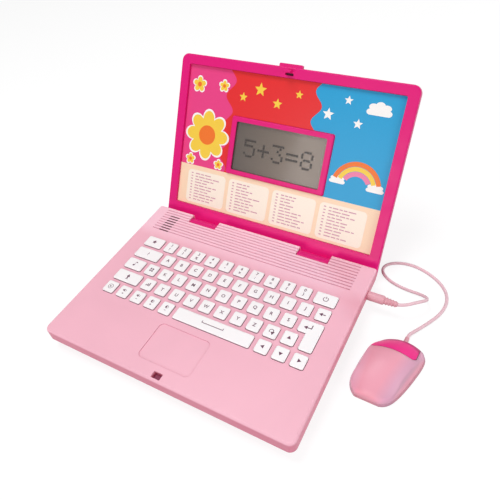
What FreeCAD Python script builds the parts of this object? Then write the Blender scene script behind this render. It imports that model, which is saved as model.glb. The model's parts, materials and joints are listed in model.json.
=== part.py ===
import FreeCAD, Part
import math
import os
import Sketcher
from types import SimpleNamespace
from FreeCAD import Placement, Rotation, Vector

# Driving sizes, in millimetres and degrees
SIZES = {
    "base_width": 235.6,
    "base_depth": 175.6,
    "base_corner": 6.0,
    "base_rear_corner": 2.5,
    "deck_height": 24.0,
    "skirt_height": 12.0,
    "deck_plate": 2.0,
    "deck_edge_round": 2.0,
    "case_wall": 2.0,
    "tub_rim_inset": 0.8,
    "tub_foot_inset": 8.0,
    "tub_floor": 2.0,
    "tub_corner": 4.0,
    "seam_gap": 0.3,
    "running_gap": 0.05,
    # keyboard
    "key_left": -98.5,
    "key_pitch_x": 15.55,
    "key_pitch_y": 15.75,
    "key_gap_x": 4.1,
    "key_gap_y": 3.45,
    "key_row_one": 36.9,
    "key_rise": 1.5,
    "key_lip": 1.0,
    "key_lip_thick": 1.0,
    "key_corner": 1.6,
    "key_round": 0.7,
    "key_fit": 0.3,
    # grooves, slots and pad on the deck
    "groove_left": -105.5,
    "groove_length": 209.7,
    "groove_width": 1.0,
    "groove_deep": 0.8,
    "groove_pitch": 3.45,
    "groove_first": 55.7,
    "slot_left": -97.7,
    "slot_length": 11.0,
    "slot_width": 1.6,
    "touch_middle_x": -1.2,
    "touch_middle_y": -56.9,
    "touch_width": 49.9,
    "touch_depth": 35.2,
    "touch_corner": 4.5,
    "touch_deep": 0.6,
    "latch_width": 8.3,
    "latch_depth": 5.6,
    "latch_deep": 4.2,
    "latch_wall": 1.2,
    "latch_y": -82.6,
    # hinge
    "hinge_inset": 7.8,
    "hinge_drop": 9.2,
    "closed_gap": 2.5,
    "barrel_radius": 8.0,
    "pin_radius": 2.0,
    "notch_inner": 44.0,
    "notch_width": 31.7,
    "notch_depth": 12.15,
    "arm_side_gap": 0.4,
    "arm_rise": 3.6,
    "arm_foot": 2.8,
    "rib_thick": 2.0,
    "lid_lean": 60.0,
    # lid
    "lid_width": 232.0,
    "lid_top": 165.8,
    "lid_foot": 6.8,
    "lid_back_foot": 4.0,
    "lid_corner": 7.0,
    "lid_foot_corner": 4.5,
    "lid_thick": 10.0,
    "bezel_thick": 5.0,
    "bezel_round": 1.2,
    "back_round": 4.2,
    "panel_width": 213.0,
    "panel_foot": 18.0,
    "panel_height": 138.7,
    "panel_recess": 3.0,
    "panel_corner": 2.0,
    "sheet_thick": 0.5,
    "screen_middle": 87.85,
    "screen_width": 92.8,
    "screen_height": 46.5,
    "screen_corner": 1.5,
    "screen_frame_width": 104.0,
    "screen_frame_height": 55.7,
    "screen_frame_corner": 2.2,
    "screen_frame_rise": 2.5,
    "screen_lip": 1.2,
    "lens_margin": 2.0,
    "lens_thick": 1.2,
    "glass_thick": 2.8,
    "screen_board_thick": 1.0,
    "screen_board_margin": 4.0,
    "hook_width": 6.0,
    "hook_thick": 1.5,
    "hook_reach": 5.6,
    "hook_bead": 0.8,
    "hook_y": 161.1,
    "hook_slot_width": 8.1,
    "hook_slot_height": 2.0,
    "hook_slot_deep": 2.5,
    "tab_width": 22.5,
    "tab_rise": 2.8,
    "tab_thick": 3.6,
    "tab_set_back": 0.6,
    "tab_corner": 1.2,
    "lid_screw_x": 110.9,
    "lid_screw_low": 12.0,
    "lid_screw_high": 158.0,
    # fasteners
    "screw_radius": 1.2,
    "screw_head_radius": 2.4,
    "screw_head_thick": 1.6,
    "screw_reach": 5.0,
    "screw_bite": 3.4,
    "boss_radius": 3.6,
    "post_x": 104.5,
    "post_front": -72.0,
    "post_rear": 52.0,
    "post_middle_x": 25.0,
    "post_middle_y": 66.0,
    "post_seat": 6.0,
    # inner pieces of the base
    "board_width": 198.0,
    "board_depth": 80.0,
    "board_y": 6.0,
    "board_thick": 1.6,
    "board_under": 16.0,
    "board_post_x": 90.0,
    "board_post_y": 30.0,
    "board_post_radius": 3.0,
    "mat_thick": 1.0,
    "dome_rise": 1.0,
    "dome_size": 6.0,
    "cell_radius": 5.25,
    "cell_length": 43.3,
    "cell_nub": 1.0,
    "cell_nub_radius": 1.9,
    "cell_pitch": 10.9,
    "cell_y": -55.0,
    "cell_gap": 0.3,
    "contact_thick": 1.2,
    "contact_height": 8.0,
    "box_wall": 1.5,
    "door_ledge": 1.2,
    "door_corner": 2.0,
    "speaker_radius": 13.0,
    "speaker_rim": 2.0,
    "speaker_cone": 4.0,
    "speaker_magnet_radius": 7.0,
    "speaker_magnet": 3.5,
    "speaker_y": 66.0,
    # plug, socket and cord
    "plug_y": 62.0,
    "plug_below_deck": 7.6,
    "pin_jack_radius": 1.75,
    "pin_jack_length": 14.0,
    "plug_radius": 4.0,
    "plug_length": 14.8,
    "plug_round": 1.0,
    "relief_radius": 2.9,
    "relief_end_radius": 2.0,
    "relief_length": 11.2,
    "relief_rib_width": 1.2,
    "relief_rib_pitch": 2.5,
    "relief_rib_deep": 0.5,
    "socket_length": 15.0,
    "socket_width": 10.0,
    "cord_radius": 1.4,
    "cord_lead": 7.0,
    # mouse
    "mouse_x": 152.6,
    "mouse_y": 6.75,
    "mouse_turn": -1.4,
    "mouse_tray": 3.0,
    "mouse_round": 3.0,
    "mouse_button_back": 9.7,
    "mouse_button_edge": 11.6,
    "mouse_button_bend": 22.0,
    "mouse_button_under": 4.6,
    "mouse_button_width": 36.0,
    "mouse_button_x": 0.3,
    "mouse_button_corner": 4.0,
    "mouse_button_press": 0.8,
    "mouse_hollow_width": 22.0,
    "mouse_hollow_x": -1.5,
    "mouse_hollow_rear": -18.0,
    "mouse_hollow_length": 25.0,
    "mouse_hollow_rise": 6.0,
    "mouse_hollow_corner": 3.0,
    "mouse_board_thick": 1.2,
    "mouse_lens_radius": 3.5,
    "mouse_screw_x": -3.9,
    "mouse_screw_y": -22.5,
    "gland_radius": 2.0,
    "gland_end_radius": 1.7,
    "gland_length": 6.0,
    "gland_height": 2.55,
}

# Cross-sections of the mouse from its rear to its front: place along its length, drift to the right, half width at
# the foot, half width at the shoulder, height of the shoulder and height of the crown
MOUSE_SECTIONS = [
    (-30.0, -5.0, 9.5, 8.5, 6.5, 8.5),
    (-26.0, -4.0, 15.0, 14.0, 7.5, 12.5),
    (-18.0, -3.5, 19.0, 17.0, 11.5, 17.0),
    (-6.0, -1.5, 21.0, 17.0, 14.5, 21.0),
    (6.0, 0.5, 22.0, 18.5, 14.0, 21.0),
    (17.0, 3.0, 21.5, 18.5, 9.0, 16.5),
    (25.0, 5.0, 18.5, 17.0, 3.5, 10.5),
    (30.5, 5.5, 10.5, 9.5, 2.0, 6.0),
]
SECTION_WORDS = ("along", "drift", "foot", "shoulder", "side", "crown")
for place, section in enumerate(MOUSE_SECTIONS):
    for word, number in zip(SECTION_WORDS, section):
        SIZES[f"mouse_{word}_{'abcdefgh'[place]}"] = number

# Keys from the rear row to the front row: node, width in units and how many
KEY_ROWS = [
    [("activity_key", 1.5, 1), ("digit_keys", 1, 10), ("power_key", 1.5, 1)],
    [("help_key", 2, 1), ("letter_keys_a_to_j", 1, 10), ("delete_key", 1, 1)],
    [("music_key", 1.5, 1), ("mode_key", 1, 1), ("letter_keys_k_to_s", 1, 9), ("enter_key", 1.5, 1)],
    [("capitals_key", 2, 1), ("level_key", 1, 1), ("letter_keys_t_to_z", 1, 7), ("turn_key", 1, 1),
     ("up_key", 1, 1)],
    [("demo_key", 1, 1), ("volume_up_key", 1, 1), ("volume_down_key", 1, 1), ("contrast_up_key", 1, 1),
     ("contrast_down_key", 1, 1), ("space_key", 5, 1), ("left_key", 1, 1), ("down_key", 1, 1),
     ("right_key", 1, 1)],
]
KEY_COLUMNS = 13
GROOVES = 9
SLOTS = 7
CELLS = 3
RELIEF_RIBS = 4

# Route of the cord from the plug's relief to the mouse's gland
CORD_ROUTE = [
    (150.4, 62.0, 16.4),
    (155.8, 67.2, 14.4),
    (159.6, 75.0, 10.8),
    (162.0, 83.2, 6.8),
    (161.0, 90.2, 3.6),
    (156.0, 94.4, 1.8),
    (147.6, 95.0, 1.5),
    (136.6, 95.9, 1.5),
    (125.4, 99.9, 1.5),
    (118.9, 107.6, 1.5),
    (120.2, 116.2, 1.5),
    (129.0, 121.8, 1.5),
    (141.0, 123.4, 1.5),
    (155.0, 120.8, 1.5),
    (167.8, 113.8, 1.5),
    (176.6, 103.6, 1.5),
    (179.4, 91.6, 1.5),
    (177.2, 79.0, 1.5),
    (171.6, 67.0, 1.5),
    (164.8, 56.0, 1.5),
]


class Size:
    """A length as a number, with the formula that ties it to the sheet."""

    def __init__(self, number, formula):
        self.number = float(number)
        self.formula = formula

    def joined(self, sign, other, number):
        return Size(number, f"({self.formula} {sign} {other.formula})")

    def __add__(self, other):
        other = as_size(other)
        return self.joined("+", other, self.number + other.number)

    def __sub__(self, other):
        other = as_size(other)
        return self.joined("-", other, self.number - other.number)

    def __mul__(self, other):
        other = as_size(other)
        return self.joined("*", other, self.number * other.number)

    def __truediv__(self, other):
        other = as_size(other)
        return self.joined("/", other, self.number / other.number)

    def __rmul__(self, other):
        return as_size(other) * self

    def __neg__(self):
        return as_size(-1) * self


def as_size(thing):
    return thing if isinstance(thing, Size) else Size(thing, f"({thing})")


doc = FreeCAD.newDocument("toy_laptop")
sheet = doc.addObject("Spreadsheet::Sheet", "Sizes")
for row, (alias, number) in enumerate(SIZES.items(), start=1):
    sheet.set(f"A{row}", alias)
    sheet.set(f"B{row}", str(number))
    sheet.setAlias(f"B{row}", alias)
doc.recompute()
size = SimpleNamespace(**{alias: Size(number, f"Sizes.{alias}") for alias, number in SIZES.items()})
NONE = Size(0, "0")
parts = []


def new_body(label, kept=True):
    """An empty body, kept as a part of its own unless it only cuts another."""
    body = doc.addObject("PartDesign::Body", label)
    body.Label = label
    body.AllowCompound = True
    if kept:
        parts.append(body)
    return body


def cut(label, base, tool):
    """One solid with another taken out of it."""
    made = doc.addObject("Part::Cut", label)
    made.Label = label
    made.Base = base
    made.Tool = tool
    doc.recompute()
    if made.Shape.Volume >= base.Shape.Volume:
        raise RuntimeError(f"nothing was cut by {label}")
    return made


def sketch_on(body, x=NONE, y=NONE, z=NONE, plane="XY_Plane"):
    """A sketch on one of the body's own planes, with its origin moved along the plane and off it."""
    sketch = body.newObject("Sketcher::SketchObject", f"{body.Name}_sketch")
    origin_plane = next(item for item in body.Origin.OriginFeatures if item.Role == plane)
    sketch.AttachmentSupport = [(origin_plane, "")]
    sketch.MapMode = "FlatFace"
    for axis, length in zip("xyz", (x, y, z)):
        sketch.setExpression(f"AttachmentOffset.Base.{axis}", length.formula)
    return sketch


def dimension(sketch, name, constraint, length):
    """Adds a dimension and ties it to the sheet."""
    index = sketch.addConstraint(constraint)
    sketch.renameConstraint(index, name)
    sketch.setExpression(f"Constraints.{name}", length.formula)


def rounded_rectangle(sketch, width, depth, corner, far_corner=None):
    """Draws a rounded rectangle about the sketch's origin. Its two far corners may have a radius of their own."""
    far_corner = far_corner or corner
    a = width.number / 2
    b = depth.number / 2
    r = corner.number
    s = far_corner.number
    ends = [((r - a, -b), (a - r, -b)), ((a, r - b), (a, b - s)), ((a - s, b), (s - a, b)), ((-a, b - s), (-a, r - b))]
    lines = [sketch.addGeometry(Part.LineSegment(Vector(*p, 0), Vector(*q, 0)), False) for p, q in ends]
    middles = [(a - r, r - b), (a - s, b - s), (s - a, b - s), (r - a, r - b)]
    arcs = []
    for turn, (middle, radius) in enumerate(zip(middles, (r, s, s, r))):
        circle = Part.Circle(Vector(*middle, 0), Vector(0, 0, 1), radius)
        start = (turn - 1) * math.pi / 2
        arcs.append(sketch.addGeometry(Part.ArcOfCircle(circle, start, start + math.pi / 2), False))
    for side in range(4):
        after = (side + 1) % 4
        sketch.addConstraint(Sketcher.Constraint("Tangent", lines[side], 2, arcs[side], 1))
        sketch.addConstraint(Sketcher.Constraint("Tangent", arcs[side], 2, lines[after], 1))
        sketch.addConstraint(Sketcher.Constraint("Horizontal" if side % 2 == 0 else "Vertical", lines[side]))
    sketch.addConstraint(Sketcher.Constraint("Equal", arcs[0], arcs[3]))
    sketch.addConstraint(Sketcher.Constraint("Equal", arcs[1], arcs[2]))
    dimension(sketch, "corner", Sketcher.Constraint("Radius", arcs[0], r), corner)
    dimension(sketch, "far_corner", Sketcher.Constraint("Radius", arcs[1], s), far_corner)
    dimension(sketch, "width", Sketcher.Constraint("DistanceX", lines[3], 1, lines[1], 1, 2 * a), width)
    dimension(sketch, "depth", Sketcher.Constraint("DistanceY", lines[0], 1, lines[2], 1, 2 * b), depth)
    dimension(sketch, "left", Sketcher.Constraint("DistanceX", lines[3], 1, -1, 1, a), width / 2)
    dimension(sketch, "near", Sketcher.Constraint("DistanceY", lines[0], 1, -1, 1, b), depth / 2)
    return sketch


def polygon(sketch, points):
    """Draws a closed outline whose corners are each dimensioned from the sketch's origin."""
    spots = [Vector(x.number, y.number, 0) for x, y in points]
    count = len(points)
    lines = [sketch.addGeometry(Part.LineSegment(spots[i], spots[(i + 1) % count]), False) for i in range(count)]
    for i, (x, y) in enumerate(points):
        sketch.addConstraint(Sketcher.Constraint("Coincident", lines[i - 1], 2, lines[i], 1))
        dimension(sketch, f"x{i}", Sketcher.Constraint("DistanceX", -1, 1, lines[i], 1, x.number), x)
        dimension(sketch, f"y{i}", Sketcher.Constraint("DistanceY", -1, 1, lines[i], 1, y.number), y)
    return sketch


def circle(sketch, radius):
    """Draws a circle about the sketch's origin."""
    ring = sketch.addGeometry(Part.Circle(Vector(0, 0, 0), Vector(0, 0, 1), radius.number), False)
    sketch.addConstraint(Sketcher.Constraint("Coincident", ring, 3, -1, 1))
    dimension(sketch, "radius", Sketcher.Constraint("Radius", ring, radius.number), radius)
    return sketch


def circles(sketch, radius, spots):
    """Draws equal circles, each dimensioned from the sketch's origin."""
    for i, (x, y) in enumerate(spots):
        spot = Vector(x.number, y.number, 0)
        ring = sketch.addGeometry(Part.Circle(spot, Vector(0, 0, 1), radius.number), False)
        dimension(sketch, f"x{i}", Sketcher.Constraint("DistanceX", -1, 1, ring, 3, x.number), x)
        dimension(sketch, f"y{i}", Sketcher.Constraint("DistanceY", -1, 1, ring, 3, y.number), y)
        dimension(sketch, f"radius{i}", Sketcher.Constraint("Radius", ring, radius.number), radius)
    return sketch


def feature(body, kind, profile, length, turned, both):
    made = body.newObject(f"PartDesign::{kind}", f"{body.Name}_{kind}")
    made.Profile = profile
    made.setExpression("Length", length.formula)
    made.Reversed = turned
    if both:
        made.SideType = "Symmetric"
    doc.recompute()
    return made


def pad(body, profile, length, down=False, both=False):
    """Raises the profile off its plane."""
    return feature(body, "Pad", profile, length, down, both)


def pocket(body, profile, length, up=False, both=False):
    """Cuts the profile into the body, down from its plane or up from it."""
    before = body.Shape.Volume
    made = feature(body, "Pocket", profile, length, up, both)
    if body.Shape.Volume >= before:
        raise RuntimeError(f"nothing was cut by {made.Name}")
    return made


def repeat(body, originals, sketch, axis, step, count):
    """Repeats features along an axis of a sketch."""
    made = body.newObject("PartDesign::LinearPattern", f"{body.Name}_pattern")
    made.Originals = originals
    made.Direction = (sketch, [axis])
    made.setExpression("Length", (step * (count - 1)).formula)
    made.Occurrences = count
    body.Tip = made
    doc.recompute()
    return made


def loft(body, kind, sketches, ruled):
    made = body.newObject(f"PartDesign::{kind}", f"{body.Name}_loft")
    made.Profile = sketches[0]
    made.Sections = sketches[1:]
    made.Ruled = ruled
    doc.recompute()
    return made


def edge_names(body, test):
    return [f"Edge{i}" for i, edge in enumerate(body.Shape.Edges, start=1) if test(edge.BoundBox)]


def soften(body, kind, names, length):
    """Rounds or bevels the named edges of the body as it stands."""
    base = body.Tip
    made = body.newObject(f"PartDesign::{kind}", f"{body.Name}_{kind}")
    made.Base = (base, names)
    made.setExpression("Radius" if kind == "Fillet" else "Size", length.formula)
    doc.recompute()
    return made


touching = 0.01


def near(one, other):
    return abs(one - other) < touching


def put(thing, x=NONE, y=NONE, z=NONE):
    for axis, length in zip("xyz", (x, y, z)):
        thing.setExpression(f"Placement.Base.{axis}", length.formula)


# Heights and places that several pieces share
half_width = size.base_width / 2
half_depth = size.base_depth / 2
seam = size.deck_height - size.skirt_height
deck_under = size.deck_height - size.deck_plate
hinge_y = half_depth - size.hinge_inset
hinge_z = size.deck_height - size.hinge_drop
face = -(size.hinge_drop + size.closed_gap)
notch_front = half_depth - size.notch_depth
notch_middle = size.notch_inner + size.notch_width / 2
screw_hole = size.screw_radius + size.running_gap
posts = [(-size.post_x, size.post_front), (size.post_x, size.post_front), (-size.post_x, size.post_rear),
         (size.post_x, size.post_rear), (-size.post_middle_x, size.post_middle_y),
         (size.post_middle_x, size.post_middle_y)]
key_depth = size.key_pitch_y - size.key_gap_y
lip_under = deck_under - size.key_lip_thick
plug_z = size.deck_height - size.plug_below_deck
jack_hole = size.pin_jack_radius + size.running_gap


def key_places():
    """Gives each key run's node, first middle across, middle in depth, width and count."""
    for row, keys in enumerate(KEY_ROWS):
        middle_y = size.key_row_one - size.key_pitch_y * row
        units = 0
        for node, wide, count in keys:
            width = size.key_pitch_x * wide - size.key_gap_x
            middle_x = size.key_left + size.key_pitch_x * units + width / 2
            yield node, middle_x, middle_y, width, count
            units += wide * count


def key_outlines(node, middle_x, middle_y, width):
    """Gives the rectangles of one key's cap: the enter key has a leg into the row in front."""
    yield middle_x, middle_y, width, key_depth
    if node == "enter_key":
        leg = size.key_pitch_x - size.key_gap_x
        yield (middle_x + (width - leg) / 2, middle_y - size.key_pitch_y / 2, leg, key_depth + size.key_pitch_y)


# Top case: pink deck and skirt, open below
top_shell = new_body("top_shell", kept=False)
outline = rounded_rectangle(sketch_on(top_shell, z=seam), size.base_width, size.base_depth, size.base_corner,
                            size.base_rear_corner)
pad(top_shell, outline, size.skirt_height)
top_edges = edge_names(top_shell, lambda box: near(box.ZMin, size.deck_height.number))
soften(top_shell, "Fillet", top_edges, size.deck_edge_round)
inside = rounded_rectangle(sketch_on(top_shell, z=seam), size.base_width - 2 * size.case_wall,
                           size.base_depth - 2 * size.case_wall, size.base_corner - size.case_wall,
                           size.base_rear_corner - size.case_wall)
pocket(top_shell, inside, size.skirt_height - size.deck_plate, up=True)

# Bosses that take the case screws
bosses = circles(sketch_on(top_shell, z=seam), size.boss_radius, posts)
pad(top_shell, bosses, size.skirt_height - size.deck_plate)
boss_holes = circles(sketch_on(top_shell, z=seam), screw_hole, posts)
pocket(top_shell, boss_holes, size.screw_reach + size.seam_gap, up=True)

# Well under the deck for the lid's hook
well_depth = size.latch_deep - size.deck_plate + size.latch_wall
well = rounded_rectangle(sketch_on(top_shell, y=size.latch_y, z=deck_under), size.latch_width + 2 * size.latch_wall,
                         size.latch_depth + 2 * size.latch_wall, size.latch_wall)
pad(top_shell, well, well_depth, down=True)

# Opening for each key, one run after another
openings = []
for node, middle_x, middle_y, width, count in key_places():
    opening = new_body(f"opening_{node}", kept=False)
    for spot_x, spot_y, wide, deep in key_outlines(node, middle_x, middle_y, width):
        hole = rounded_rectangle(sketch_on(opening, spot_x, spot_y, deck_under - size.deck_plate),
                                 wide + 2 * size.key_fit, deep + 2 * size.key_fit, size.key_corner + size.key_fit)
        hole_pad = pad(opening, hole, 3 * size.deck_plate)
        if count > 1:
            repeat(opening, [hole_pad], hole, "H_Axis", size.key_pitch_x, count)
    openings.append(opening)

# Opening for the lid's hook
latch_opening = new_body("latch_opening", kept=False)
latch = rounded_rectangle(sketch_on(latch_opening, y=size.latch_y, z=size.deck_height - size.latch_deep),
                          size.latch_width, size.latch_depth, size.latch_wall / 2)
pad(latch_opening, latch, size.latch_deep + size.deck_plate)

# Hinge notches, open at the rear
notches = new_body("notches", kept=False)
for side in (-1, 1):
    notch = rounded_rectangle(sketch_on(notches, notch_middle * side, half_depth, seam - size.deck_plate),
                              size.notch_width, 2 * size.notch_depth, size.running_gap)
    pad(notches, notch, size.skirt_height + 2 * size.deck_plate)

# Hole for the mouse plug in the right wall
plug_opening = new_body("plug_opening", kept=False)
plug_hole = circle(sketch_on(plug_opening, size.plug_y, plug_z, half_width, "YZ_Plane"), jack_hole)
pad(plug_opening, plug_hole, 4 * size.case_wall, both=True)

# Touch pad, a shallow recess
touch_recess = new_body("touch_recess", kept=False)
touch = rounded_rectangle(sketch_on(touch_recess, size.touch_middle_x, size.touch_middle_y,
                                    size.deck_height - size.touch_deep), size.touch_width, size.touch_depth,
                          size.touch_corner)
pad(touch_recess, touch, 2 * size.touch_deep)

# Groove lines across the rear of the deck
grooves = new_body("grooves", kept=False)
groove_floor = size.deck_height - size.groove_deep
groove = rounded_rectangle(sketch_on(grooves, size.groove_left + size.groove_length / 2, size.groove_first,
                                     groove_floor), size.groove_length, size.groove_width, size.groove_width / 4)
groove_pad = pad(grooves, groove, 2 * size.groove_deep)
repeat(grooves, [groove_pad], groove, "V_Axis", size.groove_pitch, GROOVES)

# Speaker slots in the grooves
slots = new_body("slots", kept=False)
slot = rounded_rectangle(sketch_on(slots, size.slot_left + size.slot_length / 2, size.groove_first,
                                   deck_under - size.deck_plate), size.slot_length, size.slot_width,
                         size.slot_width / 3)
slot_pad = pad(slots, slot, 3 * size.deck_plate)
repeat(slots, [slot_pad], slot, "V_Axis", size.groove_pitch, SLOTS)

# The shell with its openings, then its grooves, then its slots cut out of it
openings += [latch_opening, notches, plug_opening, touch_recess]
opening_set = doc.addObject("Part::Compound", "opening_set")
opening_set.Links = openings
holed_shell = cut("holed_shell", top_shell, opening_set)
grooved_shell = cut("grooved_shell", holed_shell, grooves)
top_case = cut("top_case", grooved_shell, slots)
parts.append(top_case)

# Bottom case: tapered tub
bottom_case = new_body("bottom_case")


def tub_section(height, inset, corner):
    return rounded_rectangle(sketch_on(bottom_case, z=height), size.base_width - 2 * inset,
                             size.base_depth - 2 * inset, corner)


tub_lean = (size.tub_foot_inset - size.tub_rim_inset) / seam
floor_inset = size.tub_foot_inset - tub_lean * size.tub_floor
loft(bottom_case, "AdditiveLoft", [tub_section(NONE, size.tub_foot_inset, size.tub_corner),
                                   tub_section(seam, size.tub_rim_inset, size.tub_corner)], True)
loft(bottom_case, "SubtractiveLoft", [tub_section(size.tub_floor, floor_inset + size.case_wall, size.tub_corner / 2),
                                      tub_section(seam, size.tub_rim_inset + size.case_wall, size.tub_corner / 2)],
     True)

# Posts for the screws and for the main board
post_pad = circles(sketch_on(bottom_case, z=size.tub_floor / 2), size.boss_radius, posts)
pad(bottom_case, post_pad, seam - size.tub_floor / 2)
board_spots = [(size.board_post_x * a, size.board_y + size.board_post_y * b) for a in (-1, 1) for b in (-1, 1)]
board_posts = circles(sketch_on(bottom_case, z=size.tub_floor / 2), size.board_post_radius, board_spots)
pad(bottom_case, board_posts, size.board_under - size.tub_floor / 2)
head_holes = circles(sketch_on(bottom_case), size.screw_head_radius + size.seam_gap, posts)
pocket(bottom_case, head_holes, size.post_seat, up=True)
shank_holes = circles(sketch_on(bottom_case), screw_hole, posts)
pocket(bottom_case, shank_holes, seam, up=True)

# Battery box in the floor, with a ledge that stops its door
box_width = size.cell_length + size.cell_nub + 2 * size.contact_thick + 2 * size.cell_gap
box_depth = size.cell_pitch * (CELLS - 1) + 2 * size.cell_radius + 2 * size.cell_gap
box_rise = 2 * size.cell_radius + 2 * size.cell_gap
box_outer = rounded_rectangle(sketch_on(bottom_case, y=size.cell_y, z=size.tub_floor / 2),
                              box_width + 2 * size.door_ledge + 2 * size.box_wall,
                              box_depth + 2 * size.door_ledge + 2 * size.box_wall, size.door_corner)
pad(bottom_case, box_outer, size.tub_floor / 2 + box_rise + size.box_wall)
box_inner = rounded_rectangle(sketch_on(bottom_case, y=size.cell_y), box_width, box_depth, size.door_corner / 4)
pocket(bottom_case, box_inner, size.tub_floor + box_rise, up=True)
door_hole = rounded_rectangle(sketch_on(bottom_case, y=size.cell_y), box_width + 2 * size.door_ledge,
                              box_depth + 2 * size.door_ledge, size.door_corner)
pocket(bottom_case, door_hole, size.tub_floor, up=True)

# Ribs that hold the hinge pins, with the rear wall cut away between them
rib_top = hinge_z + size.pin_radius + 2 * size.rib_thick
rib_depth = 2 * (size.hinge_inset - size.case_wall - size.seam_gap)
gap_low = 2 * size.tub_floor
for side in (-1, 1):
    rear_gap = rounded_rectangle(sketch_on(bottom_case, notch_middle * side, half_depth, gap_low), size.notch_width,
                                 2 * size.notch_depth, size.running_gap)
    pocket(bottom_case, rear_gap, seam, up=True)
for side in (-1, 1):
    for place in (size.notch_inner - size.rib_thick, size.notch_inner + size.notch_width):
        start = place if side > 0 else -(place + size.rib_thick)
        rib = rounded_rectangle(sketch_on(bottom_case, hinge_y, (rib_top + size.tub_floor / 2) / 2, start, "YZ_Plane"),
                                rib_depth, rib_top - size.tub_floor / 2, size.rib_thick)
        pad(bottom_case, rib, size.rib_thick)
pin_hole = circle(sketch_on(bottom_case, hinge_y, hinge_z, plane="YZ_Plane"), size.pin_radius + size.running_gap)
pocket(bottom_case, pin_hole, 2 * (size.notch_inner + size.notch_width + 2 * size.rib_thick), both=True)

# Battery door, flush with the underside and up against its ledge
battery_door = new_body("battery_door")
door = rounded_rectangle(sketch_on(battery_door, y=size.cell_y), box_width + 2 * size.door_ledge - 2 * size.seam_gap,
                         box_depth + 2 * size.door_ledge - 2 * size.seam_gap, size.door_corner - size.seam_gap)
pad(battery_door, door, size.tub_floor)

# Three cells side by side, turned about from one to the next
batteries = new_body("batteries")
cell_z = size.tub_floor + size.cell_gap + size.cell_radius
for cell in range(CELLS):
    spot_y = size.cell_y + size.cell_pitch * (cell - (CELLS - 1) / 2)
    end = 1 if cell % 2 == 0 else -1
    start = -(size.cell_length + size.cell_nub * end) / 2
    tube = circle(sketch_on(batteries, spot_y, cell_z, start, "YZ_Plane"), size.cell_radius)
    pad(batteries, tube, size.cell_length)
    nub_start = start + size.cell_length if end > 0 else start
    nub = circle(sketch_on(batteries, spot_y, cell_z, nub_start, "YZ_Plane"), size.cell_nub_radius)
    pad(batteries, nub, size.cell_nub, down=end < 0)

# Contact plates at both ends of each cell
battery_contacts = new_body("battery_contacts")
contact_spot = box_width / 2 - size.contact_thick
for side in (-1, 1):
    start = contact_spot if side > 0 else -(contact_spot + size.contact_thick)
    plate = rounded_rectangle(sketch_on(battery_contacts, size.cell_y - size.cell_pitch * ((CELLS - 1) / 2), cell_z,
                                        start, "YZ_Plane"), size.contact_height, size.contact_height,
                              size.contact_thick)
    plate_pad = pad(battery_contacts, plate, size.contact_thick)
    repeat(battery_contacts, [plate_pad], plate, "H_Axis", size.cell_pitch, CELLS)

# Main board on its four posts
main_board = new_body("main_board")
board = rounded_rectangle(sketch_on(main_board, y=size.board_y, z=size.board_under), size.board_width, size.board_depth,
                          size.board_thick)
pad(main_board, board, size.board_thick)

# Rubber mat on the board, with a dome under each unit of the keyboard
mat_under = size.board_under + size.board_thick
unit_width = size.key_pitch_x - size.key_gap_x
mat_sheet = new_body("mat_sheet", kept=False)
mat = rounded_rectangle(sketch_on(mat_sheet, y=size.board_y, z=mat_under), size.board_width, size.board_depth,
                        size.board_thick)
pad(mat_sheet, mat, size.mat_thick)
mat_pieces = [mat_sheet]
for row in range(len(KEY_ROWS)):
    domes = new_body(f"domes_{row}", kept=False)
    dome = rounded_rectangle(sketch_on(domes, size.key_left + unit_width / 2,
                                       size.key_row_one - size.key_pitch_y * row, mat_under),
                             size.dome_size, size.dome_size, size.dome_size / 4)
    dome_pad = pad(domes, dome, size.mat_thick + size.dome_rise)
    repeat(domes, [dome_pad], dome, "H_Axis", size.key_pitch_x, KEY_COLUMNS)
    mat_pieces.append(domes)
key_mat = doc.addObject("Part::MultiFuse", "key_mat")
key_mat.Label = "key_mat"
key_mat.Shapes = mat_pieces
doc.recompute()
parts.append(key_mat)

# Loudspeaker against the underside of the deck
speaker = new_body("speaker")
speaker_x = size.slot_left + size.slot_length / 2
pad(speaker, circle(sketch_on(speaker, speaker_x, size.speaker_y, deck_under), size.speaker_radius),
    size.speaker_rim, down=True)
cone_top = circle(sketch_on(speaker, speaker_x, size.speaker_y, deck_under - size.speaker_rim),
                  size.speaker_radius - size.speaker_rim)
cone_foot = circle(sketch_on(speaker, speaker_x, size.speaker_y, deck_under - size.speaker_rim - size.speaker_cone),
                   size.speaker_magnet_radius)
loft(speaker, "AdditiveLoft", [cone_top, cone_foot], True)
pad(speaker, circle(sketch_on(speaker, speaker_x, size.speaker_y,
                              deck_under - size.speaker_rim - size.speaker_cone), size.speaker_magnet_radius),
    size.speaker_magnet, down=True)

# Socket behind the right wall
mouse_socket = new_body("mouse_socket")
socket_start = half_width - size.case_wall - size.socket_length
socket_height = 2 * (plug_z - seam - size.seam_gap)
socket = rounded_rectangle(sketch_on(mouse_socket, size.plug_y, plug_z, socket_start, "YZ_Plane"), size.socket_width,
                           socket_height, size.plug_round)
pad(mouse_socket, socket, size.socket_length)
socket_bore = circle(sketch_on(mouse_socket, size.plug_y, plug_z, half_width - size.case_wall, "YZ_Plane"), jack_hole)
pocket(mouse_socket, socket_bore, size.socket_length - size.case_wall)

# Screws of the case, heads up in the posts
case_screws = new_body("case_screws")
pad(case_screws, circles(sketch_on(case_screws, z=size.post_seat), size.screw_head_radius, posts),
    size.screw_head_thick, down=True)
pad(case_screws, circles(sketch_on(case_screws, z=size.post_seat), size.screw_radius, posts),
    seam - size.post_seat + size.screw_reach)

# Two steel pins in the ribs
hinge_pins = new_body("hinge_pins")
for side in (-1, 1):
    start = size.notch_inner - size.rib_thick
    length = size.notch_width + 2 * size.rib_thick
    pin = circle(sketch_on(hinge_pins, hinge_y, hinge_z, start if side > 0 else -(start + length), "YZ_Plane"),
                 size.pin_radius)
    pad(hinge_pins, pin, length)

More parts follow.
